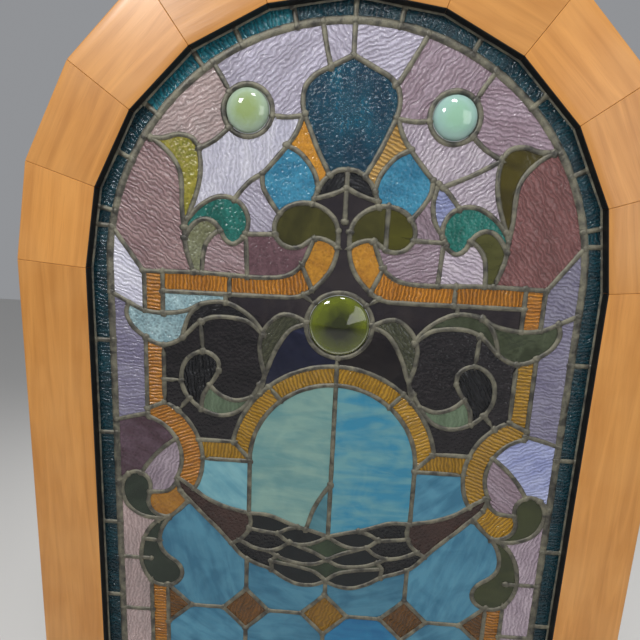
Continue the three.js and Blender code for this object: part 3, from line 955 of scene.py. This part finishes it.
@dataclass(frozen=True)
class Group:
    """The glass that one CAD node stands for.

    Attributes:
        glass: the sheet that its panes are cut from.
        others: sheets of single panes, with a point in each.
    """

    glass: Glass
    others: tuple[tuple[float, float, Glass], ...] = ()


GROUPS: dict[str, Group] = {
    "border_glass_right": Group(BORDER_TEAL, ((60, 262, BRIGHT_TEAL),)),
    "border_glass_left": Group(
        BORDER_TEAL,
        ((-110, 232, BRIGHT_TEAL), (-150, 214, BRIGHT_TEAL), (-180, 190, BRIGHT_TEAL)),
    ),
    "top_glass_right": Group(
        MAUVE_GREY, ((97, 130, PINK_RIBBED), (133, 95, PINK_RIBBED), (32, 232, LAVENDER))
    ),
    "top_glass_left": Group(LAVENDER, ((-157, 163, ROSE), (-110, 117, PALE_LAVENDER))),
    "crescent_glass_right": Group(DARK_OLIVE),
    "crescent_glass_left": Group(LIGHT_OLIVE),
    "mauve_glass_right": Group(MAUVE_BROWN, ((236, 0, SIDE_GREY),)),
    "mauve_glass_left": Group(PINK_MAUVE, ((-236, 0, PALE_LAVENDER),)),
    "petal_glass_right": Group(PETAL_BLUE, ((38, 128, PALE_AMBER),)),
    "petal_glass_left": Group(PETAL_BLUE, ((-39, 128, AMBER_FLECKED),)),
    "mauve_field_glass_right": Group(MAUVE_GREY, ((99, 79, SIDE_BLUE), (124, 18, PINK_RIBBED))),
    "mauve_field_glass_left": Group(MAUVE, ((-92, 70, LAVENDER), (-74, 21, DEEP_MAUVE))),
    "olive_scroll_glass_right": Group(SCROLL_OLIVE, ((57, 53, SCROLL_GREEN),)),
    "olive_scroll_glass_left": Group(SCROLL_OLIVE),
    "teal_scroll_glass_right": Group(SCROLL_TEAL, ((156, 25, COMMA_OLIVE),)),
    "teal_scroll_glass_left": Group(SCROLL_TEAL, ((-156, 25, SAGE),)),
    "amber_band_glass_right": Group(AMBER, ((25, 18, AMBER_FLECKED),)),
    "amber_band_glass_left": Group(AMBER, ((-25, 18, AMBER_FLECKED),)),
    "side_glass_right": Group(SIDE_GREY, ((225, -190, SIDE_BLUE), (195, -230, MAUVE_GREY))),
    "side_glass_left": Group(SIDE_GREY, ((-225, -190, PLUM), (-195, -230, SIDE_PINK))),
    "leaf_glass_right": Group(LEAF_OLIVE),
    "leaf_glass_left": Group(SPARKLE, ((-134, -42, BLACK_HAMMERED),)),
    "dark_scroll_glass_right": Group(SMOKE_ROUGH, ((156, -115, BLACK_RIBBED), (128, -147, COMMA_SAGE))),
    "dark_scroll_glass_left": Group(SMOKE_ROUGH, ((-156, -115, BLACK_RIBBED), (-128, -147, COMMA_SAGE))),
    "amber_ring_glass_right": Group(GOLD),
    "amber_ring_glass_left": Group(AMBER),
    "sky_glass_right": Group(SKY_BLUE, ((122, -240, LAKE),)),
    "sky_glass_left": Group(SKY_GREEN, ((-122, -240, SKY_PALE), (-8, -285, SAIL))),
    "hook_glass_right": Group(HOOK_OLIVE, ((191, -273, GOLD),)),
    "hook_glass_left": Group(HOOK_GREEN, ((-191, -273, AMBER_FLECKED),)),
    "lower_leaf_glass_right": Group(HOOK_OLIVE),
    "lower_leaf_glass_left": Group(HOOK_GREEN),
    "lower_side_glass_right": Group(SIDE_PINK),
    "lower_side_glass_left": Group(ROSE),
    "lower_strip_glass_right": Group(AMBER),
    "lower_strip_glass_left": Group(AMBER),
    "palmette_glass": Group(PALMETTE_TEAL),
    "dark_field_glass": Group(
        SMOKE, ((-14, 98, BLACK_RIBBED), (14, 98, BLACK_RIBBED), (-165, -31, SPARKLE))
    ),
    "jewel_field_glass": Group(SMOKE, ((-46, -88, INDIGO), (-69, -66, BUD), (69, -66, BUD))),
    "amber_arch_glass": Group(GOLD),
    "boat_glass": Group(
        HULL,
        (
            (-129, -285, PROW), (129, -285, PROW), (0, -320, HULL_GREEN), (0, -347, HULL_GREEN),
            (70, -293, HULL_ROUGH), (80, -314, HULL_ROUGH), (-80, -314, HULL_ROUGH),
            (88, -335, HULL_ROUGH), (-88, -335, HULL_ROUGH),
        ),
    ),
    "lattice_glass": Group(
        LAKE,
        (
            *(
                (x, LATTICE_TOP - row * LATTICE_PITCH, DIAMOND_GOLD if x == 0 else DIAMOND_AMBER)
                for row in range(LATTICE_ROWS)
                for x in (-186, -96, 0, 96, 186)
            ),
            *((x, FIELD_FOOT + 9, DIAMOND_AMBER) for x in (-188, -96, 0, 96, 188)),
            (48, -455, LAKE_BRIGHT),
        ),
    ),
}


@dataclass
class Glazing:
    """Every pane of the window, cut under its cames and gathered by CAD node.

    Attributes:
        pattern: the cames.
        nodes: the frame's CAD nodes.
        grid: spacing of the points that carry the relief, in millimetres.
        tuck: how far a pane's edge stays back from the middle of its came.
        stray: a pane at most this many metres from a node's solid may stand for it.
        materials: the sheets made so far.
    """

    pattern: Pattern
    nodes: dict[str, bpy.types.Object]
    grid: float = 2.1
    tuck: float = 0.8
    stray: float = 0.006
    materials: dict[str, bpy.types.Material] = field(default_factory=dict)

    def build(self) -> list[bpy.types.Object]:
        """Makes one piece for each CAD glass node."""
        panes: dict[str, list[Pane]] = {name: [] for name in GROUPS}
        for pane in Tracing(self.pattern).panes:
            name = self._node_at(pane.spot)
            if name:
                panes[name].append(pane)
        rng = np.random.default_rng(11)
        return [self._piece(name, panes[name], rng) for name in GROUPS]

    def _node_at(self, spot: Points) -> str | None:
        """The CAD glass node that has material at a point of the sheet, or the nearest to it."""
        middle = Vector((spot[0] * MM, 0, (spot[1] + SPRING) * MM))
        ahead = Vector((0, 0.1, 0))
        best, least = None, self.stray
        for name in GROUPS:
            node = self.nodes[name]
            if node.ray_cast(middle - ahead, ahead.normalized())[0]:
                return name
            found, where, _, _ = node.closest_point_on_mesh(middle, distance=3 * self.stray)
            if found and (where - middle).length < least:
                best, least = name, (where - middle).length
        return best

    def _piece(self, name: str, panes: Sequence[Pane], rng: np.random.Generator) -> bpy.types.Object:
        """The piece that replaces one CAD node."""
        group = GROUPS[name]
        mould = Mould()
        sheets: list[Glass] = []
        for pane in sorted(panes, key=lambda p: (p.spot[1], p.spot[0])):
            glass = self._sheet_for(group, pane)
            if glass not in sheets:
                sheets.append(glass)
            self._pane(mould, pane, glass, sheets.index(glass), rng)
        piece = mould.cast(name.replace("glass", "panes"), [self._finish(glass) for glass in sheets])
        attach(piece, "root")
        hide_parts(name)
        return piece

    def _finish(self, glass: Glass) -> bpy.types.Material:
        """The material of a sheet, made once."""
        if glass.name not in self.materials:
            self.materials[glass.name] = glass.material()
        return self.materials[glass.name]

    def _sheet_for(self, group: Group, pane: Pane) -> Glass:
        """The sheet that a pane is cut from."""
        for x, z, glass in group.others:
            if inside_loops(np.array([[x, z]], float), pane.loops)[0]:
                return glass
        return group.glass

    def _pane(self, mould: Mould, pane: Pane, glass: Glass, slot: int, rng: np.random.Generator) -> None:
        """Adds one pane: a relief in front, a flat back and the edges between them."""
        loops = [self._tucked(loop) for loop in pane.loops]
        loops = [loop for loop in loops if len(loop) > 2]
        rim = np.vstack(loops)
        inner = self._grid_points(rim, loops)
        front, front_faces = self._filled(loops, inner)
        back, back_faces = self._filled(loops, np.empty((0, 2)))
        along = self._direction(rim)
        turn = np.array([[along[0], along[1]], [-along[1], along[0]]])
        origin, tone = rng.uniform(-400, 400, 3), float(rng.uniform(-1, 1))
        places = [self._places(points, turn, origin) for points in (front, back)]
        angle = math.radians(glass.turn)
        u = places[0][:, 0] * math.cos(angle) - places[0][:, 1] * math.sin(angle)
        v = places[0][:, 0] * math.sin(angle) + places[0][:, 1] * math.cos(angle)
        y_front = -GLASS / 2 + ridges(glass.texture, u, v)
        shell_front = np.column_stack([front[:, 0], y_front, front[:, 1]])
        shell_back = np.column_stack([back[:, 0], np.full(len(back), GLASS / 2), back[:, 1]])
        base = len(front)
        faces = [tuple(face) for face in front_faces]
        faces += [tuple(base + i for i in face[::-1]) for face in back_faces]
        first = 0
        for loop in loops:
            ring = [first + k for k in range(len(loop))]
            pairs = zip(ring, ring[1:] + ring[:1])
            faces += [(j, i, base + i, base + j) for i, j in pairs]
            first += len(loop)
        mould.add(np.vstack([shell_front, shell_back]), faces, slot, np.vstack(places), tone)

    def _tucked(self, loop: Points) -> Points:
        """The loop with its corners moved inwards, and near points dropped."""
        before, after = np.roll(loop, 1, axis=0), np.roll(loop, -1, axis=0)
        keep = np.linalg.norm(loop - before, axis=1) > 0.25
        loop = loop[keep]
        if len(loop) < 3:
            return loop
        before, after = np.roll(loop, 1, axis=0), np.roll(loop, -1, axis=0)
        step_in, step_out = loop - before, after - loop
        step_in /= np.linalg.norm(step_in, axis=1)[:, None]
        step_out /= np.linalg.norm(step_out, axis=1)[:, None]
        normals = [np.column_stack([-s[:, 1], s[:, 0]]) for s in (step_in, step_out)]
        mean = normals[0] + normals[1]
        size = np.maximum(np.linalg.norm(mean, axis=1), 0.35)[:, None]
        turn_out = np.minimum(2 / size, 2.2)
        return loop + mean / size * self.tuck * turn_out

    def _grid_points(self, rim: Points, loops: Sequence[Points]) -> Points:
        """The points of a triangular grid that lie well inside the loops."""
        low, high = rim.min(0), rim.max(0)
        rows = np.arange(low[1], high[1], self.grid * math.sqrt(0.75))
        columns = np.arange(low[0], high[0] + self.grid, self.grid)
        x = columns[None] + np.where(np.arange(len(rows)) % 2, self.grid / 2, 0)[:, None]
        points = np.column_stack([x.ravel(), np.repeat(rows, len(columns))])
        points = points[inside_loops(points, loops)]
        if not len(points):
            return points
        return points[distance_to_loops(points, loops) > 0.55 * self.grid]

    def _filled(self, loops: Sequence[Points], inner: Points) -> tuple[Points, list[tuple[int, ...]]]:
        """The loops filled with triangles.

        Args:
            loops: the outlines.
            inner: points between them.

        Returns:
            The points, the loops' own first, and the corner numbers of each triangle, seen from the front.
        """
        edges, first = [], 0
        for loop in loops:
            ring = list(range(first, first + len(loop)))
            edges += list(zip(ring, ring[1:] + ring[:1]))
            first += len(loop)
        points = np.vstack([*loops, inner])
        made = geometry.delaunay_2d_cdt([Vector(p) for p in points], edges, [], 0, 1e-5, True)
        home = {k: sources[0] for k, sources in enumerate(made[3]) if sources}
        flat = np.array([tuple(v) for v in made[0]])
        triangles = np.array([tuple(face) for face in made[2]])
        middles = flat[triangles].mean(1)
        inside = inside_loops(middles, loops)
        faces = []
        for triangle in triangles[inside]:
            if all(int(k) in home for k in triangle):
                faces.append(tuple(home[int(k)] for k in triangle))
        return points, faces

    def _direction(self, rim: Points) -> Points:
        """The long direction of a pane."""
        spread = np.cov((rim - rim.mean(0)).T)
        return np.linalg.eigh(spread)[1][:, 1]

    def _places(self, points: Points, turn: Points, origin: Points) -> Points:
        """Where each point lies on the sheet that the pane is cut from."""
        return np.column_stack([points @ turn.T + origin[:2], np.full(len(points), origin[2])])


class Lead:
    """Aged grey lead, in lighter and darker patches."""

    def material(self) -> bpy.types.Material:
        """Makes the material."""
        recipe = Recipe("aged_lead")
        place = recipe.attribute("sheet", "Vector")
        patches = recipe.range(recipe.noise(place, 0.09, 4.0, 0.5), 0.35, 0.7)
        fine = recipe.noise(place, 0.8, 3.0)
        colour = recipe.mix(patches, paint("56544f"), paint("96927f"))
        colour = recipe.mix(recipe.range(fine, 0.55, 0.8) * 0.5, colour, paint("2e2c28"))
        return recipe.finish(
            Base_Color=colour,
            Metallic=0.75,
            Roughness=recipe.range(patches + fine * 0.4, -0.6, 2.6) + 0.16,
            Normal=recipe.bump(recipe.noise(place, 0.35, 3.0), 0.5),
        )


@dataclass
class Leadwork:
    """The cames, their solder joints, and the rim in the frame's groove.

    Attributes:
        pattern: the cames.
        crown: how far the leaves stand over the glass at their edges, in millimetres.
        heart: thickness of the web between the leaves.
        joint: radius of a solder joint.
        dressed: share of a came's nominal width that its leaves keep.
        step: longest way between two sections, in millimetres.
        bend: largest turn between two sections, in radians.
    """

    pattern: Pattern
    crown: float = 1.8
    heart: float = 1.2
    joint: float = 3.9
    dressed: float = 0.86
    step: float = 4.6
    bend: float = 0.2

    def build(self) -> bpy.types.Object:
        """Makes the piece."""
        rng = np.random.default_rng(5)
        mould = Mould()
        for came in self.pattern.cames:
            self._came(mould, came, rng)
        rim = Came(divided(closed(arch_corners(2.5)), 25), BORDER_WIDTH)
        self._came(mould, rim, rng)
        for x, z in self._joints():
            for side in (-1, 1):
                self._solder(mould, x, z, side, rng)
        piece = mould.cast("lead_cames", [Lead().material()], 65)
        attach(piece, "root")
        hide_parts("leadwork")
        return piece

    def _profile(self, width: float) -> Points:
        """The section of a came as (across, depth): two rounded leaves joined by the heart."""
        half, top = width / 2 * self.dressed, CAME_DEPTH / 2
        shape = [(-1.0, self.crown), (-0.68, top - 0.35), (0.0, top)]
        leaf = [(half * x, y) for x, y in shape] + [(-half * x, y) for x, y in shape[-2::-1]]
        back = [*leaf, (self.heart / 2, self.crown - 0.1)]
        front = [(-x, -y) for x, y in back]
        return np.array([*back, *front])

    def _thinned(self, points: Points) -> Points:
        """A line with points left out where it runs almost straight."""
        steps = np.diff(points, axis=0)
        turns = np.arctan2(steps[:, 1], steps[:, 0])
        kept, run, turned = [0], 0.0, 0.0
        for i in range(1, len(points) - 1):
            run += float(np.linalg.norm(steps[i - 1]))
            turned += abs((turns[i] - turns[i - 1] + math.pi) % (2 * math.pi) - math.pi)
            if run > self.step or turned > self.bend:
                kept.append(i)
                run, turned = 0.0, 0.0
        return points[[*kept, len(points) - 1]]

    def _came(self, mould: Mould, came: Came, rng: np.random.Generator) -> None:
        """Adds one came, swept along its line with the small unevenness of drawn and dressed lead."""
        points = self._thinned(came.points)
        points = points[:-1] if came.loops else points
        before, after = np.roll(points, 1, axis=0), np.roll(points, -1, axis=0)
        if not came.loops:
            before[0], after[-1] = 2 * points[0] - points[1], 2 * points[-1] - points[-2]
        into, out = points - before, after - points
        into /= np.maximum(np.linalg.norm(into, axis=1), 1e-6)[:, None]
        out /= np.maximum(np.linalg.norm(out, axis=1), 1e-6)[:, None]
        mean = into + out
        mean /= np.maximum(np.linalg.norm(mean, axis=1), 1e-6)[:, None]
        spread = 1 / np.clip((mean * into).sum(1), 0.6, 1)
        across = np.column_stack([-mean[:, 1], mean[:, 0]])
        length = np.concatenate([[0], np.cumsum(np.linalg.norm(np.diff(points, axis=0), axis=1))])
        phase = rng.uniform(0, 6.3, 4)
        width = 1 + 0.045 * np.sin(length / 5.3 + phase[0]) + 0.03 * np.sin(length / 2.1 + phase[1])
        height = 1 - 0.05 * (1 + np.sin(length / 4.1 + phase[2]))
        profile = self._profile(came.width)
        rows = []
        for i, point in enumerate(points):
            x = profile[:, 0] * spread[i] * width[i]
            place = point + across[i] * x[:, None]
            rows.append(np.column_stack([place[:, 0], profile[:, 1] * height[i], place[:, 1]]))
        shell = np.vstack(rows)
        around = len(profile)
        faces = ring_faces(len(points), around, came.loops)
        mould.add(shell, faces, 0, shell, 0.0)

    def _joints(self) -> list[tuple[float, float]]:
        """Where cames meet: the ends of the open ones, with near ones taken as one."""
        found: list[tuple[float, float]] = []
        for came in self.pattern.cames:
            if came.loops:
                continue
            for end in (came.points[0], came.points[-1]):
                if all(math.hypot(end[0] - x, end[1] - z) > 4 for x, z in found):
                    found.append((float(end[0]), float(end[1])))
        return found

    def _solder(self, mould: Mould, x: float, z: float, side: int, rng: np.random.Generator) -> None:
        """Adds a flat, uneven drop of solder over a joint."""
        rings, around = 4, 12
        radius = self.joint * rng.uniform(0.85, 1.15)
        phase = rng.uniform(0, 6.3)
        top, foot = CAME_DEPTH / 2 + 0.35, self.crown
        rows = [np.array([[x, side * top, z]])]
        angle = np.linspace(0, 2 * math.pi, around, endpoint=False)
        for k in range(1, rings + 1):
            share = k / rings
            reach = radius * share * (1 + 0.12 * np.sin(2 * angle + phase) + 0.06 * np.sin(5 * angle))
            height = foot + (top - foot) * math.sqrt(max(0.0, 1 - share**2.4))
            across = np.column_stack([x + reach * np.cos(angle), z + reach * np.sin(angle)])
            rows.append(np.column_stack([across[:, 0], np.full(around, side * height), across[:, 1]]))
        rows.append(np.array([[x, side * foot * 0.8, z]]))
        shell = np.vstack(rows)
        faces: list[tuple[int, ...]] = [(0, 1 + k, 1 + (k + 1) % around) for k in range(around)]
        for r in range(rings - 1):
            a, b = 1 + r * around, 1 + (r + 1) * around
            faces += [(a + k, b + k, b + (k + 1) % around, a + (k + 1) % around) for k in range(around)]
        last, base = len(shell) - 1, 1 + (rings - 1) * around
        faces += [(base + k, last, base + (k + 1) % around) for k in range(around)]
        if side < 0:
            faces = [face[::-1] for face in faces]
        mould.add(shell, faces, 0, shell, 0.0)


class Maple:
    """Honey-coloured maple under satin varnish."""

    def material(self) -> bpy.types.Material:
        """Makes the material, with the grain along the first axis of the board's own coordinates."""
        recipe = Recipe("varnished_maple")
        place = recipe.attribute("sheet", "Vector")
        figure = recipe.noise(recipe.stretched(place, (0.006, 0.075, 0.05)), 1.0, 5.0, 0.9)
        pores = recipe.noise(recipe.stretched(place, (0.03, 1.1, 0.6)), 1.0, 3.0)
        cloud = recipe.noise(place, 0.012, 2.0)
        colour = recipe.mix(recipe.range(figure, 0.35, 0.68), paint("d9964a"), paint("c07f38"))
        colour = recipe.mix(recipe.range(pores, 0.56, 0.78) * 0.35, colour, paint("a8682c"))
        colour = recipe.mix(recipe.range(cloud, 0.4, 0.7) * 0.3, colour, paint("e6ab66"))
        light = recipe.grey(recipe.attribute("tone") * 0.07 + 1.0)
        return recipe.finish(
            Base_Color=recipe.mix(1.0, colour, light, "MULTIPLY"),
            Roughness=recipe.range(figure, 0.0, 1.0) * 0.12 + 0.3,
            Coat_Weight=0.25,
            Coat_Roughness=0.2,
            Normal=recipe.bump(pores * 0.6 + figure * 0.4, 0.12),
        )


class PaintedShadeEdge:
    """The inner side faces of the boards, coloured near-black: painted shade where the edge of the opening
    lies in shade.
    """

    def material(self) -> bpy.types.Material:
        """Makes the material."""
        recipe = Recipe("painted_shade_edge")
        place = recipe.attribute("sheet", "Vector")
        shade_mottle = recipe.noise(recipe.stretched(place, (0.05, 0.9, 0.9)), 1.0, 3.0)
        # Near-black painted shade, mottled a little.
        colour = recipe.mix(shade_mottle, paint("0c0c0d"), paint("1d1b1a"))
        return recipe.finish(Base_Color=colour, Roughness=shade_mottle * 0.2 + 0.35, Normal=recipe.bump(shade_mottle, 0.1))


@dataclass
class Frame:
    """The mitred maple frame: two stiles, the arch boards and the bottom rail.

    Attributes:
        gap: clearance at a mitre.
        ease: radius of the eased edges.
        chamfer: width of the fine chamfer round each end.
        groove: depth and half width of the groove that holds the leadwork.
    """

    gap: float = 0.3
    ease: float = 1.6
    chamfer: float = 0.35
    groove: tuple[float, float] = (8.0, 3.5)

    def build(self) -> list[bpy.types.Object]:
        """Makes every board."""
        inner, outer = arch_corners(0), arch_corners(BOARD_WIDTH)
        count = len(inner)
        # The second material is near-black painted shade for the inner side faces of the boards.
        materials = [Maple().material(), PaintedShadeEdge().material()]
        rng = np.random.default_rng(3)
        boards = []
        for i in range(count):
            j = (i + 1) % count
            name = self._name(i, count)
            mould = Mould()
            self._board(mould, (inner[i], inner[j]), (outer[i], outer[j]), rng)
            piece = mould.cast(f"{name}_board", materials, 35)
            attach(piece, "root")
            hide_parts(name)
            boards.append(piece)
        return boards

    def _name(self, i: int, count: int) -> str:
        """The CAD node of board i, counted up the right side and over the arch."""
        special = {0: "stile_right", count - 2: "stile_left", count - 1: "bottom_rail"}
        return special.get(i, f"arch_board_{i}")

    def _profile(self) -> Points:
        """The section of a board as (across from the inner edge, depth), from its front inner corner."""
        r, w, d = self.ease, BOARD_WIDTH, BOARD_DEPTH / 2
        deep, half = self.groove
        corner = [(1 - math.cos(a), 1 - math.sin(a)) for a in (0, math.pi / 6, math.pi / 3, math.pi / 2)]
        front_inner = [(r * u, -d + r * v) for u, v in corner]
        front_outer = [(w - r * u, -d + r * v) for u, v in reversed(corner)]
        back_outer = [(w - r * u, d - r * v) for u, v in corner]
        back_inner = [(r * u, d - r * v) for u, v in reversed(corner)]
        middle = [(w * k / 8, -d) for k in range(1, 8)]
        slot = [(0, half), (deep, half), (deep, -half), (0, -half)]
        return np.array([*front_inner, *middle, *front_outer, *back_outer, *back_inner, *slot])

    def _board(
        self, mould: Mould, inner: Sequence[Points], outer: Sequence[Points], rng: np.random.Generator
    ) -> None:
        """Adds one board between its two mitres, with a fine chamfer round each end."""
        profile = self._profile()
        along = inner[1] - inner[0]
        length = float(np.linalg.norm(along))
        along = along / length
        origin = rng.uniform(-300, 300, 3)
        tone = float(rng.uniform(-1, 1))
        chamfer = self.chamfer
        shares = np.linspace(0, 1, max(6, round(length / 22)) + 1)
        rows, sheets = [], []
        middle = np.array([BOARD_WIDTH / 2, 0])
        stations = [(0.0, 0.0, 1), (0.0, chamfer, 0)]
        stations += [(share, 0.0, 0) for share in shares[1:-1]]
        stations += [(1.0, -chamfer, 0), (1.0, 0.0, 1)]
        for share, shift, small in stations:
            section = profile + np.sign(middle - profile) * chamfer * small
            across = (section[:, 0] / BOARD_WIDTH)[:, None]
            start = inner[0] + (outer[0] - inner[0]) * across + along * self.gap / 2
            stop = inner[1] + (outer[1] - inner[1]) * across - along * self.gap / 2
            place = start + (stop - start) * share + along * shift
            rows.append(np.column_stack([place[:, 0], section[:, 1], place[:, 1]]))
            distance = (place - inner[0]) @ along
            sheets.append(np.column_stack([distance, section[:, 0], section[:, 1]]) + origin)
        around = len(profile)
        faces = ring_faces(len(rows), around, False)
        edge = np.tile(profile[:, 0], len(rows))
        # Faces on the inner side of the board take the second material, near-black painted shade for an edge
        # in shade; the rest are maple.
        slots = [int(max(edge[i] for i in face) < self.ease * 0.6) for face in faces[:-2]]
        mould.add(np.vstack(rows), faces, [*slots, 0, 0], np.vstack(sheets), tone)


@dataclass(frozen=True)
class Opal:
    """Pressed jewel glass.

    Attributes:
        name: name of its material.
        heart: colour at the middle.
        rim: colour at the edge.
        clear: how much light passes through it.
    """

    name: str
    heart: str
    rim: str
    clear: float

    def material(self) -> bpy.types.Material:
        """Makes the material. The sheet's first coordinate is the distance from the middle, from 0 to 1."""
        recipe = Recipe(self.name)
        sheet = recipe.attribute("sheet", "Vector")
        radius = recipe.add("ShaderNodeSeparateXYZ", {}, {0: sheet})
        cloud = recipe.noise(sheet, 2.6, 3.0, 0.8)
        share = recipe.range(radius + cloud * 0.5, 0.55, 1.25)
        colour = recipe.mix(share, paint(self.heart), paint(self.rim))
        return recipe.finish(
            Base_Color=colour,
            Roughness=0.05,
            IOR=1.52,
            Transmission_Weight=self.clear,
            Coat_Weight=0.6,
            Coat_Roughness=0.03,
            Normal=recipe.bump(recipe.noise(sheet, 3.0, 2.0), 0.3),
        )


OPALS = {
    "opal_jewel_right": Opal("mint_opal", "9ecbae", "a9cfc8", 0.1),
    "opal_jewel_left": Opal("lime_opal", "9cb072", "b4ccb4", 0.1),
    "centre_rondel": Opal("olive_rondel_glass", "1b1f05", "6a7410", 0.35),
}


@dataclass
class Jewel:
    """A pressed dome of glass in its ring.

    Attributes:
        place: where it sits.
        steps: rings of faces from the top to the edge.
        around: corners of a ring.
    """

    place: JewelPlace
    steps: int = 22
    around: int = 72

    def build(self) -> bpy.types.Object:
        """Makes the piece."""
        place = self.place
        radius = place.ring - CAME_WIDTH / 2 - 0.3
        around = self.around
        angle = np.linspace(0, 2 * math.pi, around, endpoint=False)
        rows, sheets = [], []
        for share, y in [*self._dome(), (0.97, GLASS / 2 - 0.2), (0.9, GLASS / 2)]:
            x, z = radius * share * np.cos(angle), radius * share * np.sin(angle)
            rows.append(np.column_stack([place.x + x, np.full(around, y), place.z + z]))
            sheets.append(np.column_stack([np.full(around, share), x / radius, z / radius]))
        faces = ring_faces(len(rows), around, False)
        mould = Mould()
        mould.add(np.vstack(rows), faces, 0, np.vstack(sheets), 0.0)
        piece = mould.cast(f"{place.node}_dome", [OPALS[place.node].material()], 60)
        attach(piece, "root")
        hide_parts(place.node)
        return piece

    def _dome(self) -> list[tuple[float, float]]:
        """The dome's profile as (share of the radius, depth), from its top to its edge."""
        points = []
        for k in range(self.steps + 1):
            share = max(k / self.steps, 0.01)
            height = self.place.rise * math.sqrt(max(0.0, 1 - share**2.2))
            if self.place.node == "centre_rondel":
                height *= 0.8 + 0.2 * math.cos(min(share * 3.4, math.pi))
            points.append((share, -GLASS / 2 - height * 0.98))
        return points


@dataclass
class Studio:
    """Pale floor, soft lights and the camera.

    Attributes:
        camera_place: in metres.
        camera_turn: in degrees.
        lens: in millimetres.
    """

    camera_place: tuple[float, float, float] = (-0.0004, -0.511, 0.851)
    camera_turn: tuple[float, float, float] = (78.81, -2.59, 2.83)
    lens: float = 27.09

    def build(self) -> None:
        """Sets the scene up round the window."""
        self._floor()
        self._world()
        self._light("key", (-0.9, -1.5, 1.9), (0, 0, 0.85), 0.35, 22)
        self._light("fill", (1.2, -1.3, 1.2), (0, 0, 0.8), 0.9, 7)
        self._light("sky", (0.1, -0.7, 2.1), (0, 0, 0.8), 0.25, 9)
        self._light("behind", (0.2, 1.3, 1.1), (0, 0, 0.8), 1.4, 22)
        camera = bpy.data.objects.new("camera", bpy.data.cameras.new("camera"))
        camera.data.lens = self.lens
        camera.data.clip_start = 0.01
        camera.location = self.camera_place
        camera.rotation_euler = [math.radians(a) for a in self.camera_turn]
        bpy.context.scene.collection.objects.link(camera)
        bpy.context.scene.camera = camera
        bpy.context.scene.view_settings.view_transform = "Standard"
        bpy.context.scene.view_settings.exposure = -0.35

    def _floor(self) -> None:
        """A wide pale floor."""
        half = 4.0
        mesh = bpy.data.meshes.new("floor")
        corners = [(-half, -half, 0), (half, -half, 0), (half, half, 0), (-half, half, 0)]
        mesh.from_pydata(corners, [], [(0, 1, 2, 3)])
        recipe = Recipe("pale_floor")
        mesh.materials.append(recipe.finish(Base_Color=paint("d8d6d2"), Roughness=0.7))
        floor = bpy.data.objects.new("floor", mesh)
        bpy.context.scene.collection.objects.link(floor)

    def _world(self) -> None:
        """An even soft light from all round."""
        world = bpy.data.worlds.new("studio")
        world.use_nodes = True
        world.node_tree.nodes["Background"].inputs["Color"].default_value = (0.8, 0.82, 0.86, 1)
        world.node_tree.nodes["Background"].inputs["Strength"].default_value = 0.45
        bpy.context.scene.world = world

    def _light(self, name: str, place: tuple, aim: tuple, size: float, power: float) -> None:
        """A square soft light that faces a point."""
        light = bpy.data.lights.new(name, "AREA")
        light.size = size
        light.energy = power
        thing = bpy.data.objects.new(name, light)
        thing.location = place
        thing.rotation_euler = (Vector(aim) - Vector(place)).to_track_quat("-Z", "Y").to_euler()
        bpy.context.scene.collection.objects.link(thing)


def report(pieces: Iterable[bpy.types.Object]) -> None:
    """Logs the name of each piece and how many faces it has."""
    for piece in pieces:
        log.info("%s: %d faces", piece.name, len(piece.data.polygons))


def main() -> None:
    """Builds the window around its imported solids."""
    logging.basicConfig(level=logging.INFO, format="%(name)s: %(message)s")
    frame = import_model()
    pattern = Pattern()
    report(Glazing(pattern, frame["nodes"]).build())
    report([Leadwork(pattern).build()])
    report(Frame().build())
    report(Jewel(place).build() for place in JEWELS)
    Studio().build()


if __name__ == "__main__":
    main()
